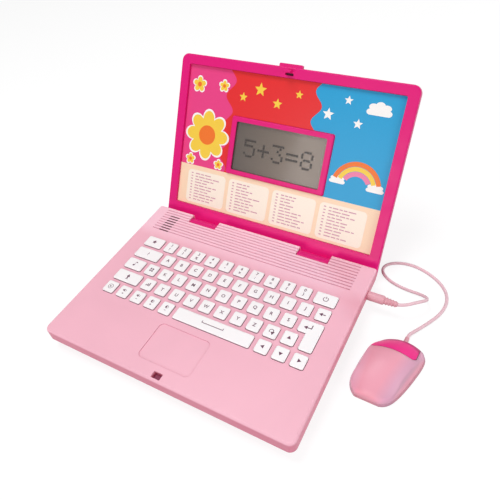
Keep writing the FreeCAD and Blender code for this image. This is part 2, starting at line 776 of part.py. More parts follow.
# Key caps: each has a lip that stops against the underside of the deck
for node, middle_x, middle_y, width, count in key_places():
    key = new_body(node)
    for spot_x, spot_y, wide, deep in key_outlines(node, middle_x, middle_y, width):
        lip = rounded_rectangle(sketch_on(key, spot_x, spot_y, lip_under), wide + 2 * size.key_lip,
                                deep + 2 * size.key_lip, size.key_corner + size.key_lip)
        lip_pad = pad(key, lip, size.key_lip_thick)
        cap = rounded_rectangle(sketch_on(key, spot_x, spot_y, deck_under), wide, deep, size.key_corner)
        cap_pad = pad(key, cap, size.deck_plate + size.key_rise)
        if count > 1:
            repeat(key, [lip_pad, cap_pad], cap, "H_Axis", size.key_pitch_x, count)
    cap_top = (size.deck_height + size.key_rise).number
    soften(key, "Fillet", edge_names(key, lambda box: near(box.ZMin, cap_top)), size.key_round)


def hang(body):
    """Puts a piece that was drawn on the lid's own axes onto the hinge, leaning as the open lid does."""
    body.Placement = Placement(Vector(), Rotation(Vector(1, 0, 0), size.lid_lean.number))
    body.setExpression("Placement.Rotation.Angle", size.lid_lean.formula)
    put(body, NONE, hinge_y, hinge_z)


# Lid bezel, drawn with the hinge axis as its origin and the inner face towards the user
lid_bezel = new_body("lid_bezel")
lid_height = size.lid_top + size.lid_foot
lid_middle = (size.lid_top - size.lid_foot) / 2
panel_middle = size.panel_foot + size.panel_height / 2
bezel_back = face - size.bezel_thick
frame = rounded_rectangle(sketch_on(lid_bezel, y=lid_middle, z=bezel_back), size.lid_width, lid_height,
                          size.lid_foot_corner, size.lid_corner)
pad(lid_bezel, frame, size.bezel_thick)
soften(lid_bezel, "Fillet", edge_names(lid_bezel, lambda box: near(box.ZMin, face.number)), size.bezel_round)
recess = rounded_rectangle(sketch_on(lid_bezel, y=panel_middle, z=face), size.panel_width, size.panel_height,
                           size.panel_corner)
pocket(lid_bezel, recess, size.panel_recess)

# Raised screen frame with its lip, and the seat of the lens behind it
screen_frame = rounded_rectangle(sketch_on(lid_bezel, y=size.screen_middle, z=face - size.panel_recess),
                                 size.screen_frame_width, size.screen_frame_height, size.screen_frame_corner)
pad(lid_bezel, screen_frame, size.screen_frame_rise)
frame_front = face - size.panel_recess + size.screen_frame_rise
soften(lid_bezel, "Fillet", edge_names(lid_bezel, lambda box: near(box.ZMin, frame_front.number)
                                       and near(box.ZMax, frame_front.number)), size.screen_lip)
screen = rounded_rectangle(sketch_on(lid_bezel, y=size.screen_middle, z=frame_front), size.screen_width,
                           size.screen_height, size.screen_corner)
pocket(lid_bezel, screen, size.bezel_thick + size.panel_recess)
lens_width = size.screen_width + 2 * size.lens_margin
lens_height = size.screen_height + 2 * size.lens_margin
lens_front = frame_front - size.screen_lip
lens_seat = rounded_rectangle(sketch_on(lid_bezel, y=size.screen_middle, z=bezel_back),
                              lens_width + 2 * size.seam_gap, lens_height + 2 * size.seam_gap, size.screen_corner)
pocket(lid_bezel, lens_seat, lens_front - bezel_back, up=True)

# Latch hook, the slot beside it and the finger tab
hook_middle = size.hook_y + size.hook_thick / 2
hook_slot = rounded_rectangle(sketch_on(lid_bezel, y=size.hook_y - size.hook_slot_height / 2 - size.seam_gap, z=face),
                              size.hook_slot_width, size.hook_slot_height, size.hook_slot_height / 5)
pocket(lid_bezel, hook_slot, size.hook_slot_deep)
hook = rounded_rectangle(sketch_on(lid_bezel, y=hook_middle, z=face), size.hook_width, size.hook_thick,
                         size.hook_thick / 5)
pad(lid_bezel, hook, size.hook_reach)
bead = rounded_rectangle(sketch_on(lid_bezel, y=hook_middle + size.hook_bead / 2, z=face + size.hook_reach),
                         size.hook_width, size.hook_thick + size.hook_bead, size.hook_thick / 5)
pad(lid_bezel, bead, size.hook_bead, down=True)
tab = rounded_rectangle(sketch_on(lid_bezel, y=size.lid_top, z=face - size.tab_set_back), size.tab_width,
                        2 * size.tab_rise, size.tab_corner)
pad(lid_bezel, tab, size.tab_thick, down=True)

# Holes that take the lid screws
lid_spots = [(size.lid_screw_x * a, y) for a in (-1, 1) for y in (size.lid_screw_low, size.lid_screw_high)]
bezel_holes = circles(sketch_on(lid_bezel, z=bezel_back), screw_hole, lid_spots)
pocket(lid_bezel, bezel_holes, size.screw_bite + size.seam_gap, up=True)
hang(lid_bezel)

# Hinge arms: a barrel on the pin and a foot on the bezel
hinge_arms = new_body("hinge_arms")
arm_width = size.notch_width - 2 * size.arm_side_gap
for side in (-1, 1):
    start = size.notch_inner + size.arm_side_gap
    start = start if side > 0 else -(start + arm_width)
    pad(hinge_arms, circle(sketch_on(hinge_arms, z=start, plane="YZ_Plane"), size.barrel_radius), arm_width)
    foot_depth = size.arm_foot + size.arm_rise
    foot = rounded_rectangle(sketch_on(hinge_arms, size.arm_rise - foot_depth / 2, face / 2, start, "YZ_Plane"),
                             foot_depth, -face, size.running_gap)
    pad(hinge_arms, foot, arm_width)
arm_bore = circle(sketch_on(hinge_arms, plane="YZ_Plane"), size.pin_radius + size.running_gap)
pocket(hinge_arms, arm_bore, 3 * (size.notch_inner + size.notch_width), both=True)
hang(hinge_arms)

# Rear shell of the lid
lid_back = new_body("lid_back")
back_face = face - size.lid_thick
back_depth = size.lid_thick - size.bezel_thick
back_height = size.lid_top + size.lid_back_foot
back_middle = (size.lid_top - size.lid_back_foot) / 2
shell = rounded_rectangle(sketch_on(lid_back, y=back_middle, z=back_face), size.lid_width, back_height,
                          size.lid_foot_corner, size.lid_corner)
pad(lid_back, shell, back_depth)
soften(lid_back, "Fillet", edge_names(lid_back, lambda box: near(box.ZMax, back_face.number)), size.back_round)
hollow = rounded_rectangle(sketch_on(lid_back, y=back_middle, z=bezel_back), size.lid_width - 2 * size.case_wall,
                           back_height - 2 * size.case_wall, size.lid_foot_corner - size.case_wall,
                           size.lid_corner - size.case_wall)
pocket(lid_back, hollow, back_depth - size.case_wall)
lid_bosses = circles(sketch_on(lid_back, z=back_face + size.case_wall / 2), size.boss_radius, lid_spots)
pad(lid_back, lid_bosses, back_depth - size.case_wall / 2)
head_seat = size.screw_head_thick + size.seam_gap
lid_head_holes = circles(sketch_on(lid_back, z=back_face), size.screw_head_radius + size.seam_gap, lid_spots)
pocket(lid_back, lid_head_holes, head_seat, up=True)
lid_shank_holes = circles(sketch_on(lid_back, z=back_face), screw_hole, lid_spots)
pocket(lid_back, lid_shank_holes, back_depth, up=True)
screen_board_back = lens_front - size.lens_thick - size.glass_thick - size.screen_board_thick
stay_spots = [(size.screen_width / 2 * a, size.screen_middle + size.screen_height / 2 * b)
              for a in (-1, 1) for b in (-1, 1)]
stays = circles(sketch_on(lid_back, z=back_face + size.case_wall / 2), size.board_post_radius, stay_spots)
pad(lid_back, stays, screen_board_back - back_face - size.case_wall / 2)
hang(lid_back)

# Printed sheet on the floor of the recess, with an opening round the screen frame
print_panel = new_body("print_panel")
sheet_out = rounded_rectangle(sketch_on(print_panel, y=panel_middle, z=face - size.panel_recess),
                              size.panel_width - 2 * size.seam_gap, size.panel_height - 2 * size.seam_gap,
                              size.panel_corner)
pad(print_panel, sheet_out, size.sheet_thick)
sheet_gap = rounded_rectangle(sketch_on(print_panel, y=size.screen_middle, z=face), size.screen_frame_width
                              + 2 * size.seam_gap, size.screen_frame_height + 2 * size.seam_gap,
                              size.screen_frame_corner)
pocket(print_panel, sheet_gap, 2 * size.panel_recess)
hang(print_panel)

# Lens, display glass and driver board, one behind the other
screen_stack = [
    ("lcd_window", lens_front, size.lens_thick, NONE),
    ("lcd_module", lens_front - size.lens_thick, size.glass_thick, NONE),
    ("lcd_board", lens_front - size.lens_thick - size.glass_thick, size.screen_board_thick, size.screen_board_margin),
]
for node, front, thick, margin in screen_stack:
    plate_body = new_body(node)
    plate = rounded_rectangle(sketch_on(plate_body, y=size.screen_middle, z=front), lens_width + 2 * margin,
                              lens_height + 2 * margin, size.screen_corner)
    pad(plate_body, plate, thick, down=True)
    hang(plate_body)

# Screws of the lid
lid_screws = new_body("lid_screws")
lid_seat = back_face + head_seat
pad(lid_screws, circles(sketch_on(lid_screws, z=lid_seat), size.screw_head_radius, lid_spots),
    size.screw_head_thick, down=True)
pad(lid_screws, circles(sketch_on(lid_screws, z=lid_seat), size.screw_radius, lid_spots),
    back_depth - head_seat + size.screw_bite)
hang(lid_screws)


def on_mouse(body):
    """Puts a piece that was drawn on the mouse's own axes where the mouse lies."""
    body.Placement = Placement(Vector(), Rotation(Vector(0, 0, 1), size.mouse_turn.number))
    put(body, size.mouse_x, size.mouse_y)


def mouse_section(body, letter):
    """Draws one cross-section: a flat foot, leaning sides and an arched top."""
    along, drift, foot, shoulder, side, crown = (getattr(size, f"mouse_{word}_{letter}") for word in SECTION_WORDS)
    arch = crown - side
    radius = (shoulder * shoulder + arch * arch) / (2 * arch)
    sketch = sketch_on(body, x=drift, z=-along, plane="XZ_Plane")
    spots = [(-foot.number, 0), (foot.number, 0), (shoulder.number, side.number), (-shoulder.number, side.number)]
    corners = [Vector(x, y, 0) for x, y in spots]
    floor = sketch.addGeometry(Part.LineSegment(corners[0], corners[1]), False)
    right = sketch.addGeometry(Part.LineSegment(corners[1], corners[2]), False)
    top = sketch.addGeometry(Part.Arc(corners[2], Vector(0, crown.number, 0), corners[3]), False)
    left = sketch.addGeometry(Part.LineSegment(corners[3], corners[0]), False)
    links = [(floor, 2, right, 1), (right, 2, top, 1), (top, 2, left, 1), (left, 2, floor, 1)]
    for link in links:
        sketch.addConstraint(Sketcher.Constraint("Coincident", *link))
    sketch.addConstraint(Sketcher.Constraint("Symmetric", floor, 1, floor, 2, -1, 1))
    sketch.addConstraint(Sketcher.Constraint("Horizontal", floor))
    sketch.addConstraint(Sketcher.Constraint("Symmetric", right, 2, left, 1, -2))
    dimension(sketch, "foot", Sketcher.Constraint("DistanceX", floor, 1, floor, 2, 2 * foot.number), 2 * foot)
    dimension(sketch, "shoulder", Sketcher.Constraint("DistanceX", left, 1, right, 2, 2 * shoulder.number),
              2 * shoulder)
    dimension(sketch, "side", Sketcher.Constraint("DistanceY", -1, 1, right, 2, side.number), side)
    dimension(sketch, "arch", Sketcher.Constraint("Radius", top, radius.number), radius)
    return sketch


def mouse_form(body):
    """The whole outer form of the mouse, before it is cut into tray, shell and button."""
    loft(body, "AdditiveLoft", [mouse_section(body, letter) for letter in "hgfedcba"], False)
    soften(body, "Fillet", edge_names(body, lambda box: box.ZMax > touching), size.mouse_round)


def mouse_block(body, z):
    """A rectangle that covers the whole mouse in plan."""
    return rounded_rectangle(sketch_on(body, z=z), 4 * size.mouse_foot_e, 4 * size.mouse_along_h, size.mouse_tray)


def button_space(label, room, drop):
    """The space over the button's underside: a rounded plan with a sloping floor, open to the front and above."""
    body = new_body(label, kept=False)
    far = 2 * size.mouse_along_h
    back = size.mouse_button_back - room
    plan = rounded_rectangle(sketch_on(body, size.mouse_button_x, (back + far) / 2), size.mouse_button_width + 2 * room,
                             far - back, size.mouse_button_corner + room)
    pad(body, plan, 2 * size.mouse_crown_e)
    under = size.mouse_button_under - drop
    edge = size.mouse_button_edge - drop
    behind = back - size.mouse_tray
    slope = (edge - under) / (size.mouse_button_bend - size.mouse_button_back)
    below = polygon(sketch_on(body, plane="YZ_Plane"),
                    [(behind, -size.mouse_tray), (far + size.mouse_tray, -size.mouse_tray),
                     (far + size.mouse_tray, under), (size.mouse_button_bend, under),
                     (behind, edge + slope * (size.mouse_button_back - behind))])
    pocket(body, below, 4 * size.mouse_button_width, both=True)
    on_mouse(body)
    return body


# Mouse tray: the flat base plate
mouse_base = new_body("mouse_base")
mouse_form(mouse_base)
pocket(mouse_base, mouse_block(mouse_base, size.mouse_tray), 2 * size.mouse_crown_e, up=True)
lens_hole = circle(sketch_on(mouse_base), size.mouse_lens_radius + size.seam_gap)
pocket(mouse_base, lens_hole, size.mouse_tray, up=True)
tray_head = circle(sketch_on(mouse_base, size.mouse_screw_x, size.mouse_screw_y),
                   size.screw_head_radius + size.seam_gap)
pocket(mouse_base, tray_head, size.screw_head_thick + size.seam_gap, up=True)
tray_shank = circle(sketch_on(mouse_base, size.mouse_screw_x, size.mouse_screw_y), screw_hole)
pocket(mouse_base, tray_shank, size.mouse_tray, up=True)
on_mouse(mouse_base)

# Mouse shell, hollow over the board and cut away at the front for the button
mouse_shell = new_body("mouse_shell", kept=False)
mouse_form(mouse_shell)
pocket(mouse_shell, mouse_block(mouse_shell, size.mouse_tray), 2 * size.mouse_tray)
hollow_y = size.mouse_hollow_rear + size.mouse_hollow_length / 2
mouse_hollow = rounded_rectangle(sketch_on(mouse_shell, size.mouse_hollow_x, hollow_y, size.mouse_tray),
                                 size.mouse_hollow_width, size.mouse_hollow_length, size.mouse_hollow_corner)
pocket(mouse_shell, mouse_hollow, size.mouse_hollow_rise, up=True)
mouse_screw_hole = circle(sketch_on(mouse_shell, size.mouse_screw_x, size.mouse_screw_y, size.mouse_tray), screw_hole)
pocket(mouse_shell, mouse_screw_hole, size.screw_bite + size.seam_gap, up=True)
on_mouse(mouse_shell)
button_room = button_space("button_room", size.seam_gap, size.mouse_button_press + size.seam_gap)
mouse_top = cut("mouse_top", mouse_shell, button_room)
parts.append(mouse_top)

# One-piece mouse button
button_form = new_body("button_form", kept=False)
mouse_form(button_form)
on_mouse(button_form)
button_block = button_space("button_block", NONE, NONE)
mouse_button = doc.addObject("Part::Common", "mouse_button")
mouse_button.Label = "mouse_button"
mouse_button.Base = button_form
mouse_button.Tool = button_block
doc.recompute()
parts.append(mouse_button)

# Mouse board, lens and screw
mouse_board = new_body("mouse_board")
board_shape = rounded_rectangle(sketch_on(mouse_board, size.mouse_hollow_x, hollow_y, size.mouse_tray),
                                size.mouse_hollow_width - 2 * size.seam_gap,
                                size.mouse_hollow_length - 2 * size.seam_gap, size.mouse_hollow_corner)
pad(mouse_board, board_shape, size.mouse_board_thick)
on_mouse(mouse_board)
mouse_lens = new_body("mouse_lens")
pad(mouse_lens, circle(sketch_on(mouse_lens, z=size.mouse_tray), size.mouse_lens_radius),
    size.mouse_tray - 2 * size.seam_gap, down=True)
on_mouse(mouse_lens)
mouse_screw = new_body("mouse_screw")
mouse_seat = size.screw_head_thick + size.seam_gap
pad(mouse_screw, circle(sketch_on(mouse_screw, size.mouse_screw_x, size.mouse_screw_y, mouse_seat),
                        size.screw_head_radius), size.screw_head_thick, down=True)
pad(mouse_screw, circle(sketch_on(mouse_screw, size.mouse_screw_x, size.mouse_screw_y, mouse_seat), size.screw_radius),
    size.mouse_tray - mouse_seat + size.screw_bite)
on_mouse(mouse_screw)

# Gland at the front of the mouse
mouse_gland = new_body("mouse_gland")
gland_root = circle(sketch_on(mouse_gland, size.mouse_drift_h, size.gland_height, -size.mouse_along_h, "XZ_Plane"),
                    size.gland_radius)
gland_tip = circle(sketch_on(mouse_gland, size.mouse_drift_h, size.gland_height,
                             -(size.mouse_along_h + size.gland_length), "XZ_Plane"), size.gland_end_radius)
loft(mouse_gland, "AdditiveLoft", [gland_root, gland_tip], True)
on_mouse(mouse_gland)

# Plug: pin, grip and ribbed relief, in line along the wall's normal
plug_pin = new_body("plug_pin")
pad(plug_pin, circle(sketch_on(plug_pin, size.plug_y, plug_z, half_width, "YZ_Plane"), size.pin_jack_radius),
    size.pin_jack_length, down=True)
mouse_plug = new_body("mouse_plug")
grip_end = half_width + size.plug_length
pad(mouse_plug, circle(sketch_on(mouse_plug, size.plug_y, plug_z, half_width, "YZ_Plane"), size.plug_radius),
    size.plug_length)
soften(mouse_plug, "Fillet", edge_names(mouse_plug, lambda box: near(box.XMin, grip_end.number)), size.plug_round)
plug_relief = new_body("plug_relief")
relief_end = grip_end + size.relief_length
loft(plug_relief, "AdditiveLoft",
     [circle(sketch_on(plug_relief, size.plug_y, plug_z, grip_end, "YZ_Plane"), size.relief_radius),
      circle(sketch_on(plug_relief, size.plug_y, plug_z, relief_end, "YZ_Plane"), size.relief_end_radius)], True)
relief_slope = (size.relief_radius - size.relief_end_radius) / size.relief_length
for rib in range(RELIEF_RIBS):
    along = size.relief_rib_width + size.relief_rib_pitch * rib
    ring_at = grip_end + along
    pad(plug_relief, circle(sketch_on(plug_relief, size.plug_y, plug_z, ring_at, "YZ_Plane"),
                            size.relief_radius - relief_slope * along + size.relief_rib_deep), size.relief_rib_width)


bend_share = 0.45


def cord_path(points):
    """Straight runs joined by tangent arcs, each arc as large as its share of the shorter run allows."""
    edges = []
    radii = []
    start = points[0]
    for before, here, after in zip(points, points[1:], points[2:]):
        towards = (before - here).normalize()
        onwards = (after - here).normalize()
        trim = bend_share * min((before - here).Length, (after - here).Length)
        turn = math.pi - towards.getAngle(onwards)
        radius = trim / math.tan(turn / 2)
        middle = (towards + onwards).normalize()
        reach = radius / math.cos(turn / 2) - radius
        radii.append(radius)
        edges.append(Part.LineSegment(start, here + towards * trim).toShape())
        edges.append(Part.Arc(here + towards * trim, here + middle * reach, here + onwards * trim).toShape())
        start = here + onwards * trim
    edges.append(Part.LineSegment(start, points[-1]).toShape())
    return Part.Wire(edges), radii


# Cord from the relief, down to the desk, round its loop and to the mouse
mouse_spot = Placement(Vector(size.mouse_x.number, size.mouse_y.number, 0),
                       Rotation(Vector(0, 0, 1), size.mouse_turn.number))
gland_end = (size.mouse_along_h + size.gland_length).number
gland_x = size.mouse_drift_h.number
gland_out = mouse_spot.multVec(Vector(gland_x, gland_end, size.gland_height.number))
gland_ahead = mouse_spot.multVec(Vector(gland_x, gland_end + size.cord_lead.number, size.gland_height.number))
relief_out = Vector(relief_end.number, size.plug_y.number, plug_z.number)
first_turn = Vector(CORD_ROUTE[0][0], size.plug_y.number, plug_z.number)
route = [relief_out, first_turn] + [Vector(*spot) for spot in CORD_ROUTE[1:]] + [gland_ahead, gland_out]
path, cord_radii = cord_path(route)
ring = Part.Wire(Part.makeCircle(size.cord_radius.number, relief_out, Vector(1, 0, 0)))
mouse_cord = doc.addObject("Part::Feature", "mouse_cord")
mouse_cord.Label = "mouse_cord"
mouse_cord.Shape = path.makePipeShell([ring], True, False)
mouse_cord.Placement = Placement()
parts.append(mouse_cord)
doc.recompute()
plain = math.pi * size.cord_radius.number ** 2 * path.Length
print("cord length", round(path.Length, 1), "volume ratio", round(mouse_cord.Shape.Volume / plain, 4))
print("cord radii", [round(radius, 1) for radius in cord_radii])

# Every object has to be sound before anything is written
for item in doc.Objects:
    if "Invalid" in item.State or "Error" in item.State:
        raise RuntimeError(f"{item.Name} failed: {item.State}")
for item in parts:
    if item.Shape.isNull() or not item.Shape.isValid() or item.Shape.Volume <= 0:
        raise RuntimeError(f"{item.Label} has no valid shape")
os.makedirs("parts", exist_ok=True)
for item in parts:
    item.Shape.exportStep(f"parts/{item.Label}.step")
print(len(parts), "parts written")
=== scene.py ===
import json
import math
import bpy
import numpy as np
from mathutils import Matrix, Quaternion, Vector

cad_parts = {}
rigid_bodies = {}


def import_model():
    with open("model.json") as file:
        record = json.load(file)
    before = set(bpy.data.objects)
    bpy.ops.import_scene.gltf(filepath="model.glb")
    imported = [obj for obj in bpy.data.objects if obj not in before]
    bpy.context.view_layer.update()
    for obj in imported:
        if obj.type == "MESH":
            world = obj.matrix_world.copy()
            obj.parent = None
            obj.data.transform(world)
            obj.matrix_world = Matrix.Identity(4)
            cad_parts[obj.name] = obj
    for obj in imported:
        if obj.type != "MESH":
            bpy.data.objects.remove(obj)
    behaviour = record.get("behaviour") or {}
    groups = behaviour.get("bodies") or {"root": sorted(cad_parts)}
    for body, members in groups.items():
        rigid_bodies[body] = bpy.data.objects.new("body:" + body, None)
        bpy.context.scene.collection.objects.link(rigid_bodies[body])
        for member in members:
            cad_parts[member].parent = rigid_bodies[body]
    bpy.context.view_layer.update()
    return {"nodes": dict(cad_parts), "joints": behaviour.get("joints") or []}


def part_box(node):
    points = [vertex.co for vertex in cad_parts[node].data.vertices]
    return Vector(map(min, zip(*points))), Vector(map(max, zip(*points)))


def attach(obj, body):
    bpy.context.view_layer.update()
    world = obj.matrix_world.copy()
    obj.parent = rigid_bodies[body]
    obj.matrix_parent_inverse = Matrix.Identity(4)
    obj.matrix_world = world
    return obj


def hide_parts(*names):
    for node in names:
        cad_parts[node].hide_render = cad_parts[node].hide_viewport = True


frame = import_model()
nodes = frame["nodes"]

# Camera: it stands in front of the right-hand corner of the laptop, under half a metre from the deck, and
# leans to its right, as the one that took the photograph did. Sizes here and below are in millimetres, but
# the floor's, the lamps' and the length of the mouse lead are in metres.
MM = 0.001
CAMERA_PLACE = Vector((186.0, -205.2, 351.0)) * MM
CAMERA_AIM = Vector((2.5, 64.6, 24.0)) * MM
CAMERA_ROLL = math.radians(-8.3)
CAMERA_LENS = 35.33
camera_data = bpy.data.cameras.new("camera")
camera_data.lens = CAMERA_LENS
camera = bpy.data.objects.new("camera", camera_data)
camera.location = CAMERA_PLACE
camera.rotation_mode = "QUATERNION"
looking = (CAMERA_AIM - CAMERA_PLACE).to_track_quat("-Z", "Y")
camera.rotation_quaternion = looking @ Quaternion((0, 0, 1), CAMERA_ROLL)
bpy.context.scene.collection.objects.link(camera)
bpy.context.scene.camera = camera

# Desk and light: a plain white studio floor, a soft lamp overhead on the left, and weaker ones in front,
# on the right and behind. To the camera the floor glows a little, so that it is white and keeps a faint
# shadow. From below it is clear, so that the undersides can be looked at.
FLOOR_HALF = 4.0
FLOOR_POINTS = 3
FLOOR_LEVEL = -0.05 * MM
FLOOR_GREY = 0.55
FLOOR_GLOW = 0.84
FLOOR_TAKES = 0.22


def add_node(tree, kind, inputs=None, **settings):
    """Adds one shader node, sets its properties, and sets or links each input that is named."""
    made = tree.nodes.new(kind)
    for name, value in settings.items():
        setattr(made, name, value)
    for socket, value in (inputs or {}).items():
        if isinstance(value, bpy.types.NodeSocket):
            tree.links.new(value, made.inputs[socket])
        else:
            made.inputs[socket].default_value = value
    return made


def new_material(name, **sockets):
    """A material with one Principled shader, its sockets set by name, and the Object coordinates of the
    piece that wears it."""
    material = bpy.data.materials.new(name)
    material.use_nodes = True
    tree = material.node_tree
    shader = tree.nodes["Principled BSDF"]
    for socket, value in sockets.items():
        shader.inputs[socket.replace("_", " ")].default_value = value
    place = add_node(tree, "ShaderNodeTexCoord").outputs["Object"]
    return material, tree, shader, place


def looked_at(tree):
    """One for a ray that comes from the camera, off a shiny face or through a clear one, and nothing for
    the rest."""
    ray = add_node(tree, "ShaderNodeLightPath").outputs
    seen = ray["Is Camera Ray"]
    for kind in ("Is Glossy Ray", "Is Transmission Ray"):
        seen = add_node(tree, "ShaderNodeMath", {0: seen, 1: ray[kind]}, operation="MAXIMUM").outputs[0]
    return seen


def grid_faces(rows, columns):
    """The quads of a grid of rows by columns points, numbered row by row."""
    first = (np.arange(rows - 1)[:, None] * columns + np.arange(columns - 1)).ravel()
    return np.stack([first, first + 1, first + columns + 1, first + columns], axis=1)


def add_piece(name, points, faces, material):
    """An object at the origin whose mesh has these points and faces, with one finish."""
    mesh = bpy.data.meshes.new(name)
    mesh.from_pydata(np.asarray(points).tolist(), [], [list(face) for face in faces])
    mesh.update()
    mesh.materials.append(material)
    made = bpy.data.objects.new(name, mesh)
    bpy.context.scene.collection.objects.link(made)
    return made


floor_paint, floor_tree, floor_shader, _ = new_material("white_floor", Base_Color=(FLOOR_GREY,) * 3 + (1,),
                                                        Roughness=0.9)
glow = add_node(floor_tree, "ShaderNodeEmission", {"Color": (1, 1, 1, 1), "Strength": FLOOR_GLOW})
takes = add_node(floor_tree, "ShaderNodeBsdfDiffuse", {"Color": (FLOOR_TAKES,) * 3 + (1,)})
glowing = add_node(floor_tree, "ShaderNodeAddShader", {0: glow.outputs[0], 1: takes.outputs[0]})
either = add_node(floor_tree, "ShaderNodeMixShader", {0: looked_at(floor_tree), 1: floor_shader.outputs[0],
                                                      2: glowing.outputs[0]})
from_below = add_node(floor_tree, "ShaderNodeNewGeometry").outputs["Backfacing"]
gone = add_node(floor_tree, "ShaderNodeBsdfTransparent").outputs[0]
one_way = add_node(floor_tree, "ShaderNodeMixShader", {0: from_below, 1: either.outputs[0], 2: gone})
floor_tree.links.new(one_way.outputs[0], floor_tree.nodes["Material Output"].inputs["Surface"])
floor_steps = np.linspace(-FLOOR_HALF, FLOOR_HALF, FLOOR_POINTS)
across, along = np.meshgrid(floor_steps, floor_steps)
floor_points = np.stack([across.ravel(), along.ravel(), np.full(across.size, FLOOR_LEVEL)], axis=1)
floor = add_piece("floor", floor_points, grid_faces(FLOOR_POINTS, FLOOR_POINTS), floor_paint)

LAMP_AIM = Vector((0.02, 0.03, 0.03))


def lamp(name, place, width, power):
    """A square soft box that faces the toy."""
    data = bpy.data.lights.new(name, "AREA")
    data.size = width
    data.energy = power
    made = bpy.data.objects.new(name, data)
    made.location = place
    made.rotation_mode = "QUATERNION"
    made.rotation_quaternion = (LAMP_AIM - Vector(place)).to_track_quat("-Z", "Y")
    bpy.context.scene.collection.objects.link(made)


lamp("overhead_lamp", place=(-0.25, 0.0, 1.2), width=0.5, power=7.0)
lamp("front_lamp", place=(-0.25, -1.18, 0.5), width=0.55, power=5.0)
lamp("right_lamp", place=(1.12, -0.25, 0.45), width=0.6, power=4.3)
lamp("rear_lamp", place=(0.6, 1.1, 0.6), width=0.6, power=2.5)
SKY_FILL = 0.25
SKY_WHITE = 1.0
world = bpy.data.worlds.new("studio")
bpy.context.scene.world = world
world.use_nodes = True
sky_tree = world.node_tree
sky = sky_tree.nodes["Background"]
white_out = add_node(sky_tree, "ShaderNodeMapRange", {"Value": looked_at(sky_tree), "To Min": SKY_FILL,
                                                      "To Max": SKY_WHITE})
sky.inputs["Color"].default_value = (1, 1, 1, 1)
sky_tree.links.new(white_out.outputs["Result"], sky.inputs["Strength"])
bpy.context.scene.view_settings.view_transform = "Standard"


# Base: a tapered tub and a deck with a skirt, both moulded in pale pink plastic with a satin face, and
# screwed together from below. The battery door in the tub's floor is of the same moulding. Painted shade
# makes the walls a deeper pink than the deck and darkest near their foot, and darkens the deck towards
# its rear right corner and in the inner corners; painted light makes the rear of the deck paler.
def tint(red, green, blue):
    """A colour as it looks on a screen, from 0 to 255, turned into light: the power curve of the sRGB
    standard."""
    share = np.array((red, green, blue)) / 255
    light = np.where(share <= 0.04045, share / 12.92, ((share + 0.055) / 1.055) ** 2.4)
    return (*light.tolist(), 1.0)


def shaded(colour, share):
    """A colour with its light multiplied by a share."""
    return (*(np.array(colour[:3]) * share).tolist(), 1.0)


def ramp(tree, factor, *stops):
    """A colour ramp: pairs of a place from 0 to 1 and a colour."""
    made = add_node(tree, "ShaderNodeValToRGB", {"Fac": factor})
    spread = made.color_ramp.elements
    while len(spread) < len(stops):
        spread.new(0.5)
    for element, (position, colour) in zip(spread, stops):
        element.position = position
        element.color = colour
    return made.outputs["Color"]


def multiplied(tree, colour, share):
    """A colour times the share of red, green and blue that is left of it."""
    made = add_node(tree, "ShaderNodeVectorMath", {0: colour, 1: share}, operation="MULTIPLY")
    return made.outputs["Vector"]


def graded(tree, colour, place, axis, stops):
    """A colour that changes along an axis. Stops are pairs of a place on it in millimetres and the share
    of red, green and blue that is left there."""
    low, high = stops[0][0], stops[-1][0]
    along = add_node(tree, "ShaderNodeVectorMath", {0: place, 1: axis}, operation="DOT_PRODUCT")
    passed = add_node(tree, "ShaderNodeMapRange", {"Value": along.outputs["Value"], "From Min": low * MM,
                                                   "From Max": high * MM})
    shares = [((at - low) / (high - low), (*share, 1.0)) for at, share in stops]
    return multiplied(tree, colour, ramp(tree, passed.outputs["Result"], *shares))


FULL = (1.0, 1.0, 1.0)
CORNER_SHADE_REACH = 0.8
UPWARDS = (0, 0, 1)


